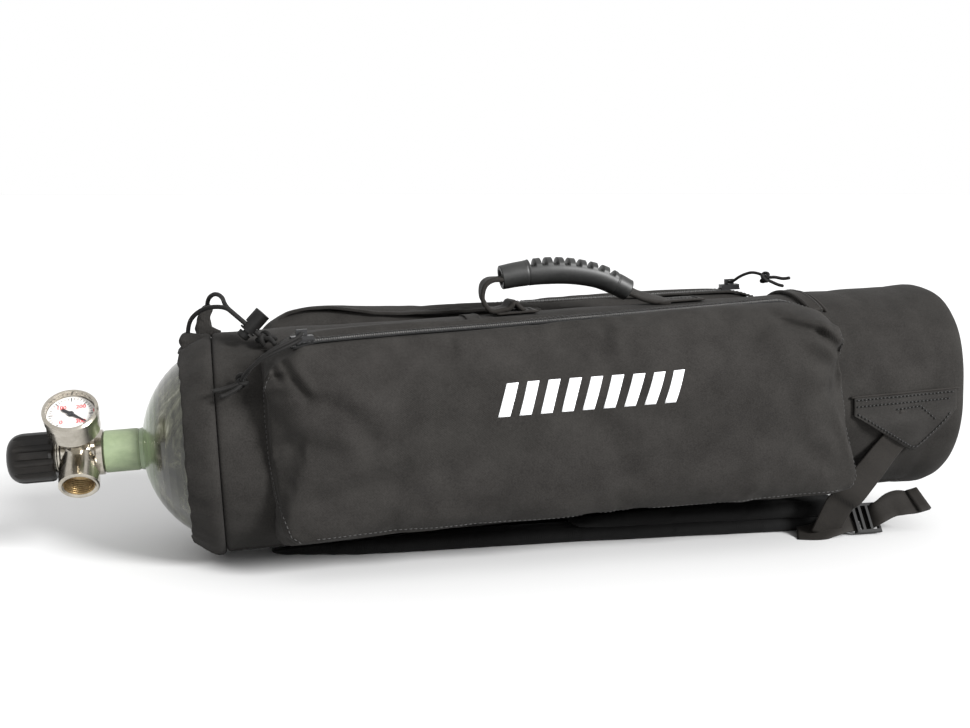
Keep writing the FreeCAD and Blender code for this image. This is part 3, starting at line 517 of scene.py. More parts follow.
def off_tube(turn):
    a = math.radians(turn)
    return aimed((0, -math.sin(a), math.cos(a)))


def bag_tube():
    n = 170
    shell = [(604.0, 0.4), (604.0, 40.0), (604.0, LINING_R), (420.0, LINING_R), (200.0, LINING_R), (60.0, LINING_R),
             (31.0, LINING_R), (30.2, 82.6), (30.4, 83.9), (31.4, 85.1), (33.2, 85.9)]
    end = [(606.0, 86.8), (612.0, 87.3), (618.0, 87.6), (623.0, 87.2), (627.0, 86.0), (629.8, 84.0), (631.8, 81.0),
           (633.6, 76.0), (635.2, 67.0), (636.4, 55.0), (637.2, 42.0), (637.8, 28.0), (638.0, 14.0), (638.0, 0.4)]
    body = [36.5]
    while body[-1] + 3.6 < 604.0:
        body.append(body[-1] + 3.6)
    rings = [(x, r, 0.0) for x, r in shell] + [(x, BAG_R, 1.0) for x in body] + [(x, r, 0.6) for x, r in end]
    verts = []
    for x, r, slack in rings:
        for j in range(n):
            turn = 360.0 * j / n
            a = math.radians(turn)
            c, s = math.cos(a), math.sin(a)
            rr = r + swell(min(x, 622.0), turn) * slack * min(1.0, r / 70.0)
            along_x = 0.0
            if slack:
                rr += 1.8 * bell(x - 618.0, 16.0) * hum(x * 0.03, c * 2.6, s * 2.6)
                # the top of the end reaches further back than the bottom
                along_x = 13.0 * smooth(540.0, 625.0, x) * max(0.0, c) ** 1.4 * min(1.0, r / 60.0)
            if slack == 0.6 and r < 80:
                along_x += hum(r * 0.035, c * 2, s * 2) * 1.32
            verts.append(around(x + along_x, rr, a))
    obj = put(piece("bag_tube", verts, closed(len(rings), n), "fabric"), "bag", "fabric",
              "top_panel", "near_side_panel", "far_side_panel", "back_panel", "end_cap")

    foam = []
    prof = [(474.0, 0.4), (473.4, 30.0), (473.2, 60.0), (474.0, 76.0), (477.0, 79.6), (490.0, 80.6), (596.0, 80.6),
            (601.0, 78.0), (602.0, 60.0), (602.0, 0.4)]
    for x, r in prof:
        for j in range(64):
            a = 2 * math.pi * j / 64
            foam.append(around(x, r + hum(x * 0.05, math.cos(a) * 3, math.sin(a) * 3) * 0.5, a))
    spacer = put(piece("foam_spacer", foam, closed(len(prof), 64), "foam"), "bag", "foam", "end_spacer")

    sew = Threads()
    stations = [36 + 4 * i for i in range(147)]
    for turn in (152.0, -152.0):
        line = [on_tube(x, turn, 0.05) - off_tube(turn) * 0.00035 for x in stations]
        put(tube("seam_%d" % round(turn % 360), line, 0.00075, "webbing", 6), "bag", "webbing")
        beside = turn + math.copysign(2.6, turn)
        sew.row([on_tube(x, beside, 0.15) for x in stations], [off_tube(beside)], pitch=0.0042, length=0.003)
    sew.done("tube_stitches", "bag")

def collar():
    """Gathered mouth of the bag: a rolled hem over the drawcord, drawn in by folds."""
    prof = [(29.9, 82.4), (29.7, 83.9), (28.9, 85.2), (27.0, 86.1), (24.0, 85.9), (21.0, 85.0), (18.0, 83.5),
            (15.4, 82.1), (13.0, 80.5), (11.0, 79.1), (9.2, 77.9), (7.6, 76.8), (6.4, 75.9), (5.8, 75.1),
            (5.9, 74.4), (6.6, 74.1), (8.0, 74.3), (9.6, 74.5), (11.4, 74.8), (14.0, 75.6), (18.0, 77.6),
            (24.0, 80.2), (28.6, 81.8)]
    n = 340
    verts = []
    for x, r in prof:
        g = max(0.0, min(1.0, (29.0 - x) / 20.0))
        for j in range(n):
            a = 2 * math.pi * j / n
            turn = math.degrees(a)
            c, s = math.cos(a), math.sin(a)
            gather = hum(s * 8.5, c * 8.5, x * 0.05) * 1.7 + 0.7 * math.sin(31 * a + 3.0 * hum(s * 3, c * 3, 1.0))
            slack = 2.4 * bell(turn - 180.0, 46.0) * bell(x - 22.0, 12.0)
            lean = 1.6 * hum(s * 1.4, c * 1.4, 7.0)
            rr = r + gather * g * 0.8 + slack + hum(x * 0.05, s * 3, c * 3) * 0.8 * min(1.0, g * 3)
            verts.append(around(x + lean * g + 0.5 * gather * g * g, rr, a))
    m = len(prof)
    faces = grid(m, n, wrap=True)
    faces += [((m - 1) * n + j, (m - 1) * n + (j + 1) % n, (j + 1) % n, j) for j in range(n)]
    obj = put(piece("collar", verts, faces, "fabric"), "bag", "fabric", "drawstring_collar")
    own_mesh(obj)

    # tabs of the hem, which the drawcord comes out of
    ears = (("collar_ear_near", -13.5, -2.5, [(9, 75), (6.2, 80), (7.0, 86), (11, 89), (16, 88.4), (22, 86.4),
                                              (27, 84.4), (26, 81), (16, 77)]),
            ("collar_ear_far", 2.5, 12.0, [(19, 80), (18.6, 90), (22, 101), (26, 107), (31, 108), (33, 104),
                                           (30.6, 97), (32, 90), (38, 86), (32, 83)]))
    for name, y0, y1, outline in ears:
        line = spread([(x, 0, z) for x, z in outline + outline[:1]], 1.4)[:-1]
        k = len(line)
        mid = sum(line, Vector()) / k
        verts = []
        for t, shrink in ((0.0, 0.72), (0.08, 0.93), (0.3, 1.0), (0.5, 1.0), (0.7, 1.0), (0.92, 0.93), (1.0, 0.72)):
            for v in line:
                q = mid + (v - mid) * shrink
                fold = 0.9 * hum(q.x * 0.16, t * 2.2, q.z * 0.16) + 0.7 * math.sin(q.z * 0.8 + t * 3.0)
                verts.append(row(q.x + fold * 0.5, y0 + (y1 - y0) * t + fold * 0.4, q.z + fold * 0.3))
        put(subdivided(piece(name, verts, closed(7, k), "fabric")), "bag", "fabric")

# ------------------------------------------------------------------ stuffed pieces
def remeshed(obj, voxel):
    mod = obj.modifiers.new("remesh", "REMESH")
    mod.mode = "VOXEL"
    mod.voxel_size = voxel
    return baked(obj)


def coords(me):
    flat = np.empty(len(me.vertices) * 3)
    me.vertices.foreach_get("co", flat)
    return flat.reshape(-1, 3)


def stuffed(obj, cap, frames=20, hold=None):
    """Fills a closed mesh as fabric: Cloth with pressure and no gravity, and a cap on each point's travel."""
    me = obj.data
    start = coords(me)
    mod = obj.modifiers.new("cloth", "CLOTH")
    mod.collision_settings.use_collision = False
    mod.point_cache.frame_start = 1
    mod.point_cache.frame_end = frames
    cloth = mod.settings
    cloth.use_pressure = True
    cloth.effector_weights.gravity = 0.0
    for key, value in (("uniform_pressure_force", 4.0), ("quality", 4), ("mass", 0.25), ("tension_stiffness", 12.0),
                       ("compression_stiffness", 12.0), ("shear_stiffness", 6.0), ("bending_stiffness", 0.6)):
        setattr(cloth, key, value)
    scene = bpy.context.scene
    for frame_no in range(1, frames + 1):
        scene.frame_set(frame_no)
    after = coords(obj.evaluated_get(bpy.context.evaluated_depsgraph_get()).data)
    obj.modifiers.clear()
    scene.frame_set(1)
    move = after - start
    size = np.linalg.norm(move, axis=1, keepdims=True)
    move *= np.minimum(1.0, cap / np.maximum(size, 1e-9))
    if hold is not None:
        move *= np.array([hold(bag_axes(p)) for p in start])[:, None]
    me.vertices.foreach_set("co", (start + move).ravel())
    me.update()


def subdivided(obj):
    mod = obj.modifiers.new("subdiv", "SUBSURF")
    mod.levels = mod.render_levels = 1
    return baked(obj)


def reshaped(obj, rule):
    """Moves each point by a rule that takes and gives bag-axes millimetres."""
    for v in obj.data.vertices:
        v.co = row(*rule(bag_axes(v.co)))
    obj.data.update()

# ------------------------------------------------------------------ pockets
# outline of the near pocket's front panel, as (x, z) in bag axes
LEFT = [(66, 67), (61, 56), (60, 40), (60, 5), (64, -28), (72, -53), (81, -60.5)]
RIGHT = [(509, 70), (515, 60), (520, 30), (524, -4), (527, -36), (527, -54), (521, -63)]
TOP = [(66, 67), (76, 73.5), (90, 80), (110, 82.4), (180, 82.8), (282, 82.6), (400, 80.5), (470, 78.6), (492, 76),
       (509, 70)]
BOTTOM = [(81, -60.5), (157, -61), (277, -65), (400, -66), (503, -66), (521, -63)]
# creases in that panel: two ends, half width, depth
CREASES = [((77, 74), (92, 50), 3.4, 4.0), ((69, 74), (76, 61), 3.0, 4.0), ((60, 58), (78, 64), 3.0, 3.8),
           ((62, 48), (76, 53), 3.2, 2.6), ((95, 49), (122, 36), 6.0, 1.8), ((64, 28), (94, 44), 5.5, 2.1),
           ((82, 15), (116, 5), 9.0, 2.6), ((150, 66), (112, 50), 8.5, 1.9), ((122, 36), (138, 14), 8.0, 1.8),
           ((64, 8), (78, 18), 5.0, 1.8), ((96, -28), (150, -18), 9.0, 2.0), ((462, 76), (490, 66), 3.8, 4.4),
           ((490, 66), (509, 50), 3.8, 5.0), ((511, 62), (508, 26), 3.6, 3.4), ((476, 52), (500, 38), 7.0, 2.2),
           ((468, -18), (508, -46), 9.0, 2.2), ((500, -10), (512, -40), 6.0, 1.6),
           ((326, -34), (430, -10), 12.0, 1.3), ((168, -36), (250, -52), 9.0, 1.4), ((200, 62), (300, 70), 9.0, 1.2),
           ((380, 58), (440, 66), 8.0, 1.2)]


def along(points):
    """A function from 0..1 to a place on the polyline, by length."""
    pts = [Vector(p) for p in points]
    runs = [0.0]
    for a, b in zip(pts, pts[1:]):
        runs.append(runs[-1] + (b - a).length)

    def at(t):
        d = t * runs[-1]
        for i in range(len(pts) - 1):
            if d <= runs[i + 1] or i == len(pts) - 2:
                k = (d - runs[i]) / (runs[i + 1] - runs[i])
                return pts[i].lerp(pts[i + 1], min(1.0, k))
    return at


ZIP_RUN = (ZIP_B - ZIP_A).length
ZIP_DIR = (ZIP_B - ZIP_A).normalized()
ZIP_SIDE = Vector((0, 0, 1)).cross(ZIP_DIR).normalized()
ZIP_UP = ZIP_DIR.cross(ZIP_SIDE)


def hump(x, y, side):
    """The far pocket's front end stands up in a soft peak."""
    if side < 0:
        return bell(x - 150, 60)
    return 9.5 * bell(x - 116, 44) * bell(abs(y) - 45, 21)

def sag(x):
    """How far the top of a pocket falls at its two ends."""
    return 11.0 * smooth(476, 520, x) + 15.0 * smooth(96, 62, x)


def crease(x, z):
    total = 0.0
    p = Vector((x, z))
    for a, b, w, depth in CREASES:
        a, b = Vector(a), Vector(b)
        d = b - a
        t = (p - a).dot(d) / d.length_squared
        if t < -0.5 or t > 1.5:
            continue
        fade = smooth(-0.35, 0.15, t) * smooth(1.35, 0.85, t)
        n = Vector((-d.y, d.x)).normalized()
        s = (p - a).dot(n)
        total += fade * depth * (0.75 * bell(s - 1.9 * w, 1.2 * w) - bell(s, w))
    return total


def pocket(side):
    """A stuffed pocket with a flat front panel, gussets, and a back that lies on the tube."""
    top, bottom, left, right = along(TOP), along(BOTTOM), along(LEFT), along(RIGHT)
    c00, c10, c01, c11 = (Vector(p) for p in (TOP[0], TOP[-1], BOTTOM[0], BOTTOM[-1]))

    def front(u, v):
        q = top(u) * (1 - v) + bottom(u) * v + left(v) * (1 - u) + right(v) * u
        q = q - (c00 * (1 - u) * (1 - v) + c10 * u * (1 - v) + c01 * (1 - u) * v + c11 * u * v)
        crown = (1 - abs(2 * u - 1) ** 7) * (1 - abs(2 * v - 1) ** 3.5)
        return Vector((q.x, side * (PANEL_Y + PANEL_CROWN * crown), q.y))

    def back(u, v):
        a = math.radians(22.0 + 112.0 * v)
        return Vector((64.0 + 457.0 * u, side * POCKET_BACK_R * math.sin(a), POCKET_BACK_R * math.cos(a)))

    def at(u, v, w):
        p = back(u, v).lerp(front(u, v), w)
        belly = math.sin(math.pi * w)
        if v == 0.0:
            p.z += 4.5 * belly + (hump(p.x, p.y, side) - 0.7 * sag(p.x)) * belly
        if v == 1.0:
            p.z -= 3.0 * belly
        if u == 0.0:
            p.x -= 1.5 * belly
        if u == 1.0:
            p.x += 1.5 * belly
        return row(*p)

    nu, nv, nw = 60, 26, 10
    verts, faces = [], []

    def sheet_of(fn, a, b):
        base = len(verts)
        for i in range(a + 1):
            for j in range(b + 1):
                verts.append(fn(i / a, j / b))
        faces.extend(tuple(base + k for k in f) for f in grid(a + 1, b + 1))

    sheet_of(lambda s, t: at(s, t, 1.0), nu, nv)
    sheet_of(lambda s, t: at(s, t, 0.0), nu, nv)
    sheet_of(lambda s, t: at(s, 0.0, t), nu, nw)
    sheet_of(lambda s, t: at(s, 1.0, t), nu, nw)
    sheet_of(lambda s, t: at(0.0, s, t), nv, nw)
    sheet_of(lambda s, t: at(1.0, s, t), nv, nw)
    obj = piece(WHICH[side] + "_pocket_bag", verts, faces, "fabric")
    bm = bmesh.new()
    bm.from_mesh(obj.data)
    bmesh.ops.remove_doubles(bm, verts=bm.verts, dist=0.0004)
    bmesh.ops.recalc_face_normals(bm, faces=bm.faces)
    bm.to_mesh(obj.data)
    bm.free()
    remeshed(obj, POCKET_VOXEL)
    stuffed(obj, cap=POCKET_CAP, hold=lambda p: smooth(0.0, 6.0, math.hypot(p.y, p.z) - POCKET_BACK_R))
    subdivided(obj)

    rim = []
    for t in range(161):
        s = t / 160
        rim += [front(s, 0.0), front(s, 1.0)]
        if t % 3 == 0:
            rim += [front(0.0, s), front(1.0, s)]
    tree = KDTree(len(rim))
    for i, p in enumerate(rim):
        tree.insert(p, i)
    tree.balance()

    def settle(q):
        """Pinches the seam, raises the zip's bed, adds creases, and keeps the back on the tube."""
        out = smooth(84.0, 98.0, abs(q.y))
        near, _, dist = tree.find(q)
        q = q.lerp(near, 0.85 * bell(dist, 4.2))
        push = crease(MIRROR_X - q.x if side > 0 else q.x, q.z) * out
        push += (hum(q.x * 0.013, q.z * 0.017, 3.0 + side) * 4.0 + hum(q.x * 0.036, q.z * 0.04, 8.0) * 1.3) * out
        q.y += side * push
        flat = Vector((q.x, -abs(q.y), q.z)) - ZIP_A
        run, off = flat.dot(ZIP_DIR), flat.dot(ZIP_SIDE)
        if q.z > 66.0 and -20.0 < run < ZIP_RUN + 12.0:
            bed = ZIP_A.z + (ZIP_B.z - ZIP_A.z) * run / ZIP_RUN + 0.2 + hump(q.x, q.y, side) - sag(q.x)
            k = smooth(17.0, 8.0, abs(off)) * smooth(-20.0, -6.0, run) * smooth(ZIP_RUN + 12.0, ZIP_RUN, run)
            q.z += (bed - q.z) * k
        turn = math.degrees(math.atan2(-q.y, q.z))
        r = math.hypot(q.y, q.z)
        least = BAG_R + swell(q.x, turn) + 0.5
        if r < least:
            q.y *= least / r
            q.z *= least / r
        return q

    reshaped(obj, settle)
    put(obj, "bag", "fabric", WHICH[side] + "_pocket")
    return obj, front

def surface(obj):
    bm = bmesh.new()
    bm.from_mesh(obj.data)
    tree = BVHTree.FromBMesh(bm)
    bm.free()
    return tree


def shut(obj, thick):
    """Gives an open sheet its cloth thickness."""
    mod = obj.modifiers.new("thick", "SOLIDIFY")
    mod.thickness = thick
    mod.offset = 1.0
    return baked(obj)

def coil(name, line, up, mat, radius, pitch=0.00165):
    """A zip's nylon coil: one flattened helix along a line."""
    pts = []
    turn = 0.0
    for a, b in zip(line, line[1:]):
        side = (b - a).normalized().cross(up).normalized()
        steps = max(1, int((b - a).length / (pitch / 8)))
        for k in range(steps):
            turn += 2 * math.pi / 8
            pts.append(a.lerp(b, k / steps) + side * math.cos(turn) * radius * 1.5
                       + up * math.sin(turn) * radius * 0.8)
    return tube(name, pts, 0.00042, mat, sides=4)


def zip_line(side, off=0.0, lift=0.0, start=-12.0, stop=ZIP_RUN, steps=84):
    """A line beside a pocket's zip: off millimetres to its side, and lift over its bed."""
    out = []
    for i in range(steps + 1):
        p = ZIP_A + ZIP_DIR * (start + (stop - start) * i / steps) + ZIP_SIDE * off
        out.append(row(p.x, side * abs(p.y), p.z + 1.2 + lift + hump(p.x, p.y, side) - sag(p.x)))
    return out


def zips(side):
    which = WHICH[side]
    up = aimed((ZIP_UP.x, ZIP_UP.y * -side, ZIP_UP.z))
    across = [aimed((ZIP_SIDE.x, -side * ZIP_SIDE.y, 0))]
    for k, off, nodes in (("inner", 5.6, [which + "_zip"]), ("outer", -5.6, [])):
        put(ribbon("%s_zip_tape_%s" % (which, k), zip_line(side, off)[::3], across, 0.0086, 0.0008, "zip_tape",
                   ripple=0.0002), "bag", "zip_tape", *nodes)
    for k, off in (("a", 0.75), ("b", -0.75)):
        put(coil("%s_zip_coil_%s" % (which, k), zip_line(side, off, 0.5), up, "zip_coil", 0.0006), "bag", "zip_tape")
    put(ribbon(which + "_zip_flap", zip_line(side, 11.5, 0.3)[::3], across, 0.0056, 0.0016, "fabric", ripple=0.0004),
        "bag")
    sew = Threads()
    for off, lift in ((8.3, 0.75), (-8.3, 0.75), (12.6, 1.2)):
        sew.row(zip_line(side, off, lift), [up], pitch=0.0036, length=0.0024)
    if side > 0:
        # folds of the flap beside the zip, which show over the top of the bag
        for k, (off, wide) in enumerate(((30.0, 0.004), (36.0, 0.0044), (42.0, 0.004))):
            line = zip_line(side, off, 0.9, -26.0, 210.0)[::2]
            last = len(line) - 1
            line = [p - aimed((0, 0, 1)) * 0.004 * (smooth(0.8, 1.0, i / last) + smooth(0.1, 0.0, i / last))
                    for i, p in enumerate(line)]
            put(ribbon("far_flap_fold_%d" % (k + 1), line, across, wide, 0.0024, "fabric", ripple=0.0007), "bag")
    sew.done(which + "_zip_stitches", "bag", "thread_dark")


def bars(tree):
    """A generic row of slanted reflective bars where the photograph has its mark."""
    count, pitch, wide, slant, tall, first, middle = 9, 16.0, 9.0, 8.0, 24.0, 238.0, 36.0
    inward = aimed((0, 1, 0))
    verts, faces = [], []
    for i in range(count):
        faces += [tuple(len(verts) + k for k in f) for f in grid(5, 10)]
        for a in range(5):
            for b in range(10):
                s, t = a / 4 - 0.5, b / 9 - 0.5
                x = first + pitch * i + s * wide + t * slant
                hit = tree.ray_cast(row(x, -160, middle + t * tall), inward)[0]
                verts.append(hit - inward * 0.00018)
    put(shut(piece("reflective_bars", verts, faces, "reflective"), 0.00022), "bag")


def on_panel(tree, x, z, lift, side):
    hit, nrm, _, _ = tree.ray_cast(row(x, side * 170, z), aimed((0, -side, 0)))
    if hit is None:
        return None, None
    nrm = nrm if nrm.dot(aimed((0, side, 0))) > 0 else -nrm
    return hit + nrm * lift, nrm


def panel_seams(tree, side, front):
    """Rows of stitches just inside the front panel's edge: left, bottom and right."""
    sew = Threads()
    for edge, dx, dz in ((lambda t: front(0.0, t), 4.6, 0.0), (lambda t: front(t, 1.0), 0.0, 4.4),
                         (lambda t: front(1.0, t), -4.6, 0.0)):
        pts, ups = [], []
        for i in range(121):
            q = edge(0.03 + 0.94 * i / 120)
            p, n = on_panel(tree, q.x + dx, q.z + dz, 0.00012, side)
            if p is not None:
                pts.append(p)
                ups.append(n)
        sew.row(pts, ups, pitch=0.0038, length=0.0026, r=0.0003)
    sew.done(WHICH[side] + "_pocket_stitches", "bag", "seam_thread")

# ------------------------------------------------------------------ cords and knots
def nurbs(name, points, diameter, mat="cord"):
    """A cord on one smooth NURBS line with the route's points as its control points."""
    cu = bpy.data.curves.new(name, "CURVE")
    cu.dimensions = "3D"
    sp = cu.splines.new("NURBS")
    sp.points.add(len(points) - 1)
    for pt, p in zip(sp.points, points):
        pt.co = (*p, 1.0)
    sp.order_u = 3
    sp.use_endpoint_u = True
    sp.resolution_u = 24
    cu.bevel_depth = diameter / 2
    cu.bevel_resolution = 4
    cu.use_fill_caps = True
    cu.materials.append(MATS[mat])
    obj = bpy.data.objects.new(name, cu)
    bpy.context.scene.collection.objects.link(obj)
    return obj


def overhand(name, centre, along_dir, size, radius, body, tails):
    """A pulled-down overhand knot, as one closed round of cord, with its loose ends, all in bag axes."""
    middle = row(*centre)
    d = aimed(along_dir).normalized()
    a = d.orthogonal().normalized()
    b = d.cross(a)
    pts = []
    for i in range(73):
        t = 2 * math.pi * i / 72
        x = math.sin(t) + 2 * math.sin(2 * t)
        y = math.cos(t) - 2 * math.cos(2 * t)
        pts.append(middle + (a * x + b * y) * size * 0.3 - d * math.sin(3 * t) * size * 0.48)
    knot = [put(tube(name, pts, radius, "cord", sides=10), body, "cord")]
    for i, tail in enumerate(tails):
        end = tube("%s_end_%d" % (name, i + 1), spread(in_frame(tail), 0.0012), radius * 0.94, "cord", sides=10)
        knot.append(put(end, body, "cord"))
    return knot


def cords():
    eye = ZIP_A + ZIP_DIR * EYE_NEAR + ZIP_UP * EYE_UP
    near = [eye, eye - ZIP_SIDE * 6.0, Vector((85.0, -102.0, 88.0)), Vector((68.0, -105.0, 82.0)),
            Vector((54.5, -97.0, 69.0)), Vector((51.8, -77.6, 60.9))]
    # the pull's second strand runs beside the first
    beside = ((0, 0.6, -3.2), (-1, -1.0, -3.4), (-4, -2.0, -3.6), (-4.5, 1.5, -4.5), (-3.4, 2.0, -3.0), (-1.6, 0, -1.4))
    pair = [p + Vector(o) for p, o in zip(near, beside)]
    eye = ZIP_A + ZIP_DIR * EYE_FAR + ZIP_UP * EYE_UP
    eye.y *= -1
    far = [eye, eye + Vector((ZIP_SIDE.x, -ZIP_SIDE.y, 0)) * 6.0, (491.0, 39.5, 101.5), (501.0, 33.0, 104.5),
           (508.0, 28.5, 99.8)]
    q = math.sqrt(0.5)
    cross = Vector((61.6, -40.0, 95.2)) - Vector((q, 0, q)) * 3.0
    c = Vector((q, 0, -q))

    def through_lock(y):
        """The straight run through the cord lock, for a strand y to the side of its middle."""
        return [cross + c * s + Vector((0, y, 0)) for s in (-24.0, -15.0, 9.5)]

    d_near = [(13, -9, 86), (14, -13, 96), (20, -20, 104), (29, -26, 109)] + through_lock(-2.1)
    d_far = [(29, 5, 104), (29, -1, 112), (35, -11, 118), (41, -22, 116)] + through_lock(2.1)
    kc = cross + c * 13.0
    k1 = overhand("near_pull_tie", (50.6, -74.6, 58.6), (-20, 0, -8), 0.0052, 0.0016, "near_pull",
                  [[(51.5, -77.0, 59.0), (44, -79.5, 56.5), (36, -80.5, 54.5), (29.5, -81.5, 54.0)],
                   [(51.0, -78.0, 57.5), (45, -81.0, 53.5), (38, -82.0, 50.5), (34.5, -82.8, 50.0)]])
    k2 = overhand("far_pull_tie", (507.6, 28.4, 98.6), (16, -9, -4), 0.005, 0.0015, "far_pull",
                  [[(508, 28, 98.6), (515, 25, 99.0), (522, 22.5, 97.5), (527, 20.0, 98.0)],
                   [(508, 28, 97.6), (514, 26.5, 94.5), (519, 25, 92.0), (522.5, 23.6, 91.0)]])
    k3 = overhand("drawcord_tie", kc, c, 0.0056, 0.0019, "bag",
                  [[kc + Vector(o) for o in tail] for tail in (((0, -2, 0), (5, -5.5, 0), (8, -7, -4)),
                                                               ((0, 2, 0), (6, 4, 1), (9.5, 5.5, -1.5)))])
    for name, body, nodes, knot, pts, wide, lay, length in (
            ("near_pull_line_back", "near_pull", (), (), pair, PULL_D, "hanging", 0.072),
            ("near_pull_line", "near_pull", ("near_pull_cord",), k1, near, PULL_D, "hanging", 0.076),
            ("far_pull_line", "far_pull", ("far_pull_cord",), k2, far, PULL_D, "loose", 0.038),
            ("drawcord_line_near", "bag", ("drawcord_near",), k3, d_near, CORD_D, "loose", 0.087),
            ("drawcord_line_far", "bag", ("drawcord_far",), (), d_far, CORD_D, "loose", 0.084)):
        cord = put(nurbs(name, in_frame(pts), wide / 1000), body, "cord")
        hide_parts(*nodes)
    for knot, node in ((k1, "near_pull_knot"), (k2, "far_pull_knot"), (k3, "drawcord_knot")):
        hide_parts(node)


# ------------------------------------------------------------------ carry handle webbing and its anchors
GRIP_SPINE = [(262.5, 0, 115.4), (278, 0, 117.4), (300, 0, 118.6), (322, 0, 117.0), (344, 0, 112.0), (360, 0, 104.6),
              (371, 0, 98.4)]
GRIP_SIZE = [(0.0, 9.8), (0.05, 10.6), (0.3, 10.9), (0.6, 10.8), (0.9, 10.0), (1.0, 9.0)]
SLOT_X, SLOT_PITCH, SLOTS = 288.6, 9.2, 8     # the first finger slot, their spacing, and how many

def grip():
    """The moulded grip: cuffs at its ends and a row of deep finger slots along the top."""
    line = spread(in_frame(GRIP_SPINE), 0.0005)
    total = len(line) - 1
    y = aimed((0, 1, 0))
    n = 80
    verts = []
    size = along(GRIP_SIZE)
    # the bore at each end turns out over the rim
    rings = [(6, 0.5), (3, 0.58), (0, 0.66), (0, 0.94)] + [(i, 1.0) for i in range(1, total)]
    rings += [(total, 0.94), (total, 0.66), (total - 3, 0.58), (total - 6, 0.5)]
    for i, scale in rings:
        p = line[i]
        up = (line[min(i + 1, total)] - line[max(i - 1, 0)]).normalized().cross(y)
        up = up if up.z > 0 else -up
        x = bag_axes(p).x
        s = i / total
        groove = 0.35 * (bell(s - 0.2, 0.006) + bell(s - 0.885, 0.006))
        slot = max(smooth(2.3, 1.6, abs(x - SLOT_X - SLOT_PITCH * k)) for k in range(SLOTS))
        between = smooth(282.0, 285.0, x) * smooth(360.0, 357.0, x)
        for j in range(n):
            turn = 360.0 * j / n - 180.0
            a = math.radians(turn)
            top = smooth(70.0, 60.0, abs(turn + 10.0))
            rr = size(s).y * scale + 0.5 * between * top * (1 - slot) - 4.2 * slot * top - groove
            verts.append(p + (up * math.cos(a) * rr - y * math.sin(a) * rr * 1.02) / 1000)
    put(piece("grip", verts, closed(len(rings), n), "grip_rubber"), "carry_handle", "grip_rubber", "handle_grip")


def handle():
    y = aimed((0, 1, 0))
    left = [row(x, 0, z) for x, z in ((268, 116.2), (262, 115.0), (254, 114.6), (248.6, 110.6), (246.6, 103.6),
                                      (247.6, 96.6), (251.6, 90.6), (258.4, 88.8), (266.0, 90.4), (270.4, 95.6),
                                      (274.6, 92.6), (279.0, 88.6))]
    lean = [y, y, aimed((0.1, 1, 0.12)), aimed((0.16, 1, 0.1)), y, aimed((-0.1, 1, 0)), y]
    a = ribbon("handle_loop_front", left, lean, lambda t: 0.019 + 0.003 * smooth(0.4, 0.9, t), 0.0036, "webbing",
               step=0.0012, ripple=0.0012)
    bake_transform(a)
    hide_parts("handle_webbing_left")
    right = [row(x, 0, z) for x, z in ((368, 99.6), (374, 96.6), (380, 93.6), (387, 91.6), (396, 89.2), (404, 87.6))]
    b = ribbon("handle_loop_rear", right, [aimed((0, 1, 0.5)), aimed((0, 1, 0.3)), aimed((0, 1, 0.1))],
               lambda t: 0.0165 + 0.0085 * smooth(0.2, 0.8, t), 0.003, "webbing", step=0.0012, ripple=0.0006)
    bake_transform(b)
    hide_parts("handle_webbing_right")
    put(ribbon("handle_core", in_frame(GRIP_SPINE), [y], 0.012, WEB_T, "webbing"), "carry_handle", "webbing",
        "handle_core_webbing")
    sew = Threads()
    for name, x0, x1, nodes in (("handle_anchor_1", 256.0, 290.0, ["handle_anchors"]),
                                ("handle_anchor_2", 393.0, 434.0, [])):
        line = [on_tube(x0 + (x1 - x0) * i / 12, 0.0, 1.4) for i in range(13)]
        put(ribbon(name, line, [y], 0.025, WEB_T, "webbing", ripple=0.0003), "bag", "webbing", *nodes)
        za, zb = x0 + 4, x1 - 4
        corners = [(za, -6.0), (zb, -6.0), (zb, 6.0), (za, 6.0), (za, -6.0), (zb, 6.0), (zb, -6.0), (za, 6.0)]
        pts = []
        for (xa, ta), (xb, tb) in zip(corners, corners[1:]):
            pts += [on_tube(xa + (xb - xa) * i / 8, ta + (tb - ta) * i / 8, 2.6) for i in range(8)]
        sew.row(pts, [aimed((0, 0, 1))], pitch=0.003, length=0.0022)

    def hoop(x, turns, lift, slope=0.1):
        """A line over the top of the bag, leaning back towards its ends."""
        return [on_tube(x + slope * abs(t), t, lift) for t in turns]

    # reinforcing tape across the top at the pockets' rear ends
    put(ribbon("rear_tape", hoop(516, range(-30, 31, 3), 1.5), [aimed((1, 0, 0))], 0.013, 0.003, "webbing",
               ripple=0.0006), "bag", "webbing", "rear_binding")
    put(tube("rear_piping", hoop(524.4, range(-30, 31, 2), 1.0), 0.0016, "webbing", 8), "bag", "webbing")
    for x in (511.6, 520.4):
        turns = range(-29, 30, 2)
        sew.row(hoop(x, turns, 3.1), [off_tube(t) for t in turns], pitch=0.0032, length=0.0023)
    # a welt across the top in front of the handle
    put(ribbon("top_welt_236", hoop(236.0, range(-23, 24, 3), 0.7, 0.0), [aimed((1, 0, 0))], 0.012, 0.0014, "fabric",
               ripple=0.0003), "bag")
    turns = range(-22, 23, 2)
    sew.row(hoop(240.2, turns, 1.5, 0.0), [off_tube(t) for t in turns], pitch=0.0034, length=0.0024)
    sew.done("top_stitches", "bag")


# ------------------------------------------------------------------ patches, webbing, buckles and shoulder straps
def patch_lift(x, z):
    """Height of the patch's underside over the tube, in millimetres."""
    return 1.1 + 0.6 * hum(x * 0.05, z * 0.06, 1.0) + 3.0 * smooth(-4.0, -16.0, z)


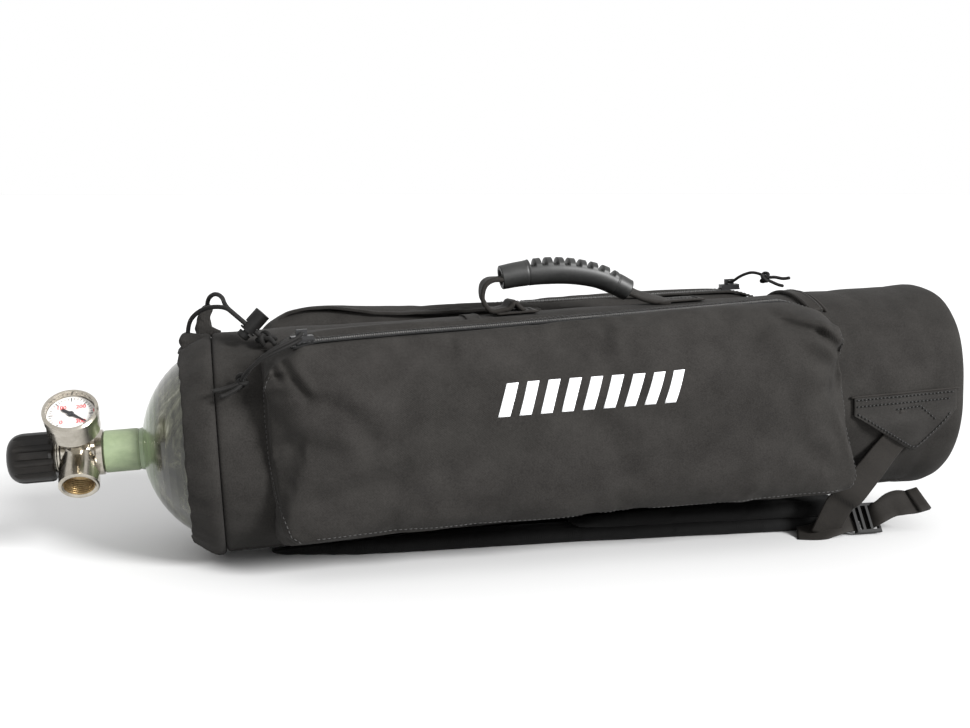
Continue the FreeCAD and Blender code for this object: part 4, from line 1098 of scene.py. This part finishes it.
def patch(side):
    which = WHICH[side]
    nu, nv = 60, 26

    def at(x, z, lift):
        turn = -side * math.degrees(math.acos(max(-1, min(1, z / (BAG_R + 1.5)))))
        return on_tube(x, turn, lift), off_tube(turn)

    verts = []
    for i in range(nu + 1):
        x = 529 + 92.0 * i / nu
        hi = 8.5 + 0.7 * i / nu
        if x < 583:
            lo = -6 - 32.5 * (x - 529) / 54
        elif x < 587:
            lo = -38.5
        else:
            lo = -38.5 + 31.5 * (x - 587) / 34
        for j in range(nv + 1):
            z = lo + (hi - lo) * j / nv
            verts.append(at(x, z, patch_lift(x, z))[0])
    put(shut(piece(which + "_patch", verts, grid(nu + 1, nv + 1), "patch"), 0.0012), "bag", "patch",
        which + "_anchor_patch")
    sew = Threads()
    for line in ([(531, 6.8), (619, 7.4)], [(531, 1.6), (618, 2.2)],
                 [(532, -4.5), (583, -35.0), (588, -35.0), (617, -6.5)], [(566, -3), (588, -2), (604, -16)]):
        pts, ups = [], []
        for (xa, za), (xb, zb) in zip(line, line[1:]):
            n = max(2, int(math.hypot(xb - xa, zb - za) / 3))
            for i in range(n):
                x, z = xa + (xb - xa) * i / n, za + (zb - za) * i / n
                p, u = at(x, z, patch_lift(x, z) + 1.7)
                pts.append(p)
                ups.append(u)
        sew.row(pts, ups, pitch=0.0034, length=0.0022, r=0.00055)
    sew.done(which + "_patch_stitches", "bag", "thread_dark")
    # the sewn-in edge above the patch
    line = [at(527 + 96.0 * i / 24, 9.2 + 0.7 * i / 24, 1.5)[0] for i in range(25)]
    put(tube(which + "_patch_welt", line, 0.0011, "webbing", 6), "bag")


def webbings(side):
    which = WHICH[side]

    def m(*p):
        """A direction or an offset given for the near side, on this side."""
        return Vector((p[0], p[1] * -side, p[2]))

    def floor(*points):
        return [m(*ground(*p)) for p in points]

    def on_lock(l, w, h):
        """A place on the ladder lock: along it, up its leaning face, and off the face."""
        return 559.0 + l, -60.0 + 0.6 * w - 0.8 * h, 12.6 + 0.8 * w + 0.6 * h

    base = row(567.5, -90.2, -23.0)
    down = Vector((-0.54, 0, -0.84))
    pts = [on_tube(581.0, -side * 96.0, 1.3), on_tube(576.0, -side * 101.5, 1.5), on_tube(570.5, -side * 107.5, 2.0),
           m(*row(561.5, -81.7, -37.5)), m(*(base + down * 0.06 + Vector((0, 0.012, 0)))),
           m(*(base + down * 0.074 + Vector((0, 0.019, 0)))), *floor((520.0, -62.5, 1.8))]
    fall = m(*aimed((0.85, 0.154, -0.507)))
    lean, tail_flat = m(0, 0.6, 0.8), m(0, 0.8, 0.6)
    back = floor((498.0, -58.0, 2.0), (505.0, -61.0, 2.2), (513.0, -62.6, 3.2), (524.0, -62.0, 7.0),
                 (536.0, -60.6, 10.6), (546.4, -60.0, 12.4))
    tail = floor(on_lock(0.5, 0.0, -4.2), on_lock(4.6, 0.2, -2.6), on_lock(6.2, 0.5, 1.4), on_lock(9.5, 1.6, 4.2),
                 on_lock(15.0, 4.0, 5.8), (582.0, -61.6, 23.0), (590.0, -62.4, 24.8), (600.0, -62.9, 24.9),
                 (610.0, -63.2, 27.4))
    hem = floor((600.0, -62.9, 25.0), (605.0, -63.0, 26.1), (610.0, -63.2, 27.4))
    hem = [p + m(0, -0.0016, 0.0012) for p in hem]
    loop = floor((555.0, -39.6, 12.0), (562.0, -41.0, 12.0), (568.4, -43.4, 12.0), (572.0, -49.0, 12.2),
                 (572.7, -58.0, 12.6))
    for name, line, across, wide, ripple, nodes in (
            ("_strap_down", pts, [fall, fall, m(0.84, 0.0, -0.54), m(0.8, 0, -0.5), m(0.98, 0, -0.05)], 0.025,
             0.0008, ["_lower_webbing"]),
            ("_strap_to_buckle", back, [m(0.2, 0.9, 0.35), m(0.1, 0.85, 0.5), lean], 0.021, 0.0006, []),
            ("_strap_tail", tail, [lean, lean, lean, m(0.05, 0.7, 0.7), tail_flat, tail_flat],
             lambda t: 0.0185 + 0.005 * smooth(0.2, 0.6, t), 0.001, ["_webbing_tail"]),
            ("_strap_hem", hem, [tail_flat], 0.0235, 0.0, []),
            ("_loop", loop, [m(0, 0, 1)], 0.0145, 0.0, ["_strap_loop"])):
        put(ribbon(which + name, line, across, wide, WEB_T, "webbing", ripple=ripple), "bag", "webbing",
            *[which + n for n in nodes])

def shoulder_strap(side):
    """The padded strap folded flat under the bag: two layers of one closed form."""
    layers = ([(66, -6, -21, 0.8, 5.5), (90, -5, -25, 0.6, 9.5), (140, -5, -36, 0.5, 11), (220, -5, -38, 0.5, 11.5),
               (300, -5, -40, 0.5, 11.5), (400, -5, -45, 0.5, 11.5), (500, -6, -50, 0.5, 11.5),
               (545, -7, -48, 0.6, 11.4), (554, -9, -44, 1.4, 10.5)],
              [(302, -8, -36, 12.2, 13.5), (318, -7, -41, 12.0, 20), (360, -6, -43, 12.0, 22.8),
               (430, -6, -47, 12.0, 23.2), (500, -6, -51, 12.0, 23.4), (545, -8, -49, 12.0, 23.2), (554, -11, -44, 13.0, 21.8)])
    n = 40
    for k, st in enumerate(layers):
        verts = []
        dense = spread([s[:3] for s in st], 9.0)
        highs = along([(s[0], s[4]) for s in st])
        lows = along([(s[0], s[3]) for s in st])
        total = st[-1][0] - st[0][0]
        for p in dense:
            t = (p.x - st[0][0]) / total
            z1, z0 = highs(t).y, lows(t).y
            mid, half = (p.y + p.z) / 2, abs(p.y - p.z) / 2
            for j in range(n):
                a = 2 * math.pi * j / n
                cy = math.copysign(abs(math.cos(a)) ** 0.45, math.cos(a))
                cz = math.copysign(abs(math.sin(a)) ** 0.6, math.sin(a))
                z = (z0 + z1) / 2 + (z1 - z0) / 2 * cz * 0.92
                verts.append(ground(p.x, -side * (mid + half * cy * 0.97), z))
        # the pad's fabric is partly its own near-black and partly painted shade, for the pocket's shadow over it
        o = piece("%s_strap_pad_%d" % (WHICH[side], k + 1), verts, closed(len(dense), n), "strap_fabric")
        remeshed(o, STRAP_VOXEL)
        stuffed(o, STRAP_CAP, frames=12)
        for v in o.data.vertices:
            v.co.z += 0.0005 * hum(v.co.x * 60, v.co.y * 90, 2.0)
            b = bag_axes(v.co)
            r = math.hypot(b.y, b.z)
            if r < BAG_R + 2.2 and b.z < 0:
                s = (BAG_R + 2.2) / r
                v.co = row(b.x, b.y * s, b.z * s)
            v.co.z = max(v.co.z, 0.0004)
        put(o, "bag", "strap_fabric", *[WHICH[side] + "_shoulder_strap"][k:])


# ------------------------------------------------------------------ gauge face and the outlet's thread
def valve_axes(turn):
    """Two directions across a port that points turn from straight up, and the way it points."""
    out = aimed((0, -math.sin(turn), math.cos(turn)))
    a = aimed((1, 0, 0))
    return a, out.cross(a).normalized(), out


def dial_marks():
    ex, ey, out = valve_axes(GAUGE_TURN)
    up = GAUGE_FACE - DIAL_DROP
    centre = row(VALVE_X, -math.sin(GAUGE_TURN) * up, math.cos(GAUGE_TURN) * up)
    verts, faces = [], []

    def way(degrees):
        """From the dial's centre towards a place on its edge."""
        a = math.radians(degrees)
        return ex * math.cos(a) + ey * math.sin(a)

    def tick(r0, r1, degrees, half):
        d = way(degrees)
        s = out.cross(d)
        b = len(verts)
        for h in (0.0, 0.00012):
            for r, k in ((r0, -1), (r1, -1), (r1, 1), (r0, 1)):
                verts.append(centre + d * r + s * half * k + out * h)
        faces.extend([(b, b + 1, b + 2, b + 3), (b + 4, b + 5, b + 6, b + 7), (b, b + 1, b + 5, b + 4),
                      (b + 1, b + 2, b + 6, b + 5), (b + 2, b + 3, b + 7, b + 6), (b + 3, b, b + 4, b + 7)])

    for i in range(31):
        big = i % 5 == 0
        tick(0.0126 if big else 0.014, 0.016, 225.0 - 9.0 * i, 0.00036 if big else 0.00022)
    put(piece("dial_ticks", verts, faces, "dial_ink", smooth=False), "cylinder")
    verts, faces = [], []
    for i in range(60):
        b = len(verts)
        verts += [centre + way(a) * r + out * 0.00004 for a in (i - 45.0, i - 44.0) for r in (0.016, 0.0168)]
        faces.append((b, b + 1, b + 3, b + 2))
    put(shut(piece("dial_arc", verts, faces, "dial_red"), 0.0001), "cylinder")
    for i, text in enumerate(("0", "100", "200", "300")):
        fc = bpy.data.curves.new("numeral_" + text, "FONT")
        for key, value in (("body", text), ("size", 0.0048), ("offset", 0.0001), ("align_x", "CENTER"),
                           ("align_y", "CENTER"), ("extrude", 0.00006)):
            setattr(fc, key, value)
        fc.materials.append(MATS["dial_red"])
        t = bpy.data.objects.new("numeral_" + text, fc)
        rot = Matrix((ex, ey, out)).transposed().to_4x4()
        rot.translation = centre + way(225.0 - 90.0 * i) * 0.0098 + out * 0.00012
        t.matrix_world = rot
        bpy.context.scene.collection.objects.link(t)
        put(t, "cylinder")


def outlet_thread():
    a, b, out = valve_axes(OUTLET_TURN)
    start = row(VALVE_X, 0, 0)

    def at(h, r, t):
        """A point in the bore: its distance from the spindle axis, its radius and its angle."""
        return start + out * h / 1000 + (a * math.cos(t) + b * math.sin(t)) * r / 1000

    turns, steps = 7, 34
    pts = [at(OUTLET_REACH - 15.2 + 13.2 * i / (turns * steps), 11.28, 2 * math.pi * i / steps)
           for i in range(turns * steps)]
    put(tube("outlet_thread", pts, 0.00062, "brass", sides=6), "cylinder", "brass")
    ring = [at(OUTLET_REACH - h, r, 2 * math.pi * j / 48)
            for h, r in ((15.9, 0.4), (15.9, 11.3), (1.4, 11.3), (1.4, 11.42), (15.95, 11.42), (15.98, 0.4))
            for j in range(48)]
    put(piece("outlet_bore", ring, grid(6, 48, wrap=True), "brass"), "cylinder", "brass")

# ------------------------------------------------------------------ floor, light, camera
def studio():
    bpy.ops.mesh.primitive_plane_add(size=60.0, location=(0, 20.0, 0))
    floor = bpy.context.object
    floor.name = "floor"
    sh = Shade("floor")
    speck = sh.noise(3.0, 2.0, 0.5)
    sh.put("Base Color", sh.ramp(speck, [(0.3, 0.57), (0.7, 0.59)]))
    sh.set(Roughness=0.95, Specular_IOR_Level=0.1)
    floor.data.materials.append(sh.mat)

    world = bpy.data.worlds.new("studio")
    world.use_nodes = True
    back = world.node_tree.nodes["Background"]
    back.inputs[0].default_value = (1.0, 1.0, 1.0, 1.0)
    back.inputs[1].default_value = 1.0
    bpy.context.scene.world = world

    for name, place, power, wide in (("key", (0.85, -1.0, 0.66), 6.6, 18.0), ("fill", (0.1, -0.9, 1.0), 0.5, 70.0)):
        lamp = bpy.data.lights.new(name, "SUN")
        lamp.energy = power
        lamp.angle = math.radians(wide)
        obj = bpy.data.objects.new(name, lamp)
        obj.location = place
        obj.rotation_euler = (-Vector(place)).to_track_quat("-Z", "Y").to_euler()
        bpy.context.scene.collection.objects.link(obj)


def camera():
    cam = bpy.data.cameras.new("camera")
    cam.sensor_width = 36.0
    cam.lens = 44.54
    obj = bpy.data.objects.new("camera", cam)
    obj.location = (-0.2217, -0.9482, 0.287)
    yaw, pitch = math.radians(12.62), math.radians(8.297)
    look = Vector((math.sin(yaw) * math.cos(pitch), math.cos(yaw) * math.cos(pitch), -math.sin(pitch)))
    obj.rotation_euler = look.to_track_quat("-Z", "Y").to_euler()
    bpy.context.scene.collection.objects.link(obj)
    bpy.context.scene.camera = obj


studio()
camera()
cords()
bag_tube()
collar()
for side in (-1, 1):
    sack, rim = pocket(side)
    tree = surface(sack)
    panel_seams(tree, side, rim)
    if side < 0:
        bars(tree)
    zips(side)
    patch(side)
    webbings(side)
    shoulder_strap(side)
grip()
handle()
dial_marks()
outlet_thread()

bpy.context.scene.view_settings.view_transform = "Standard"
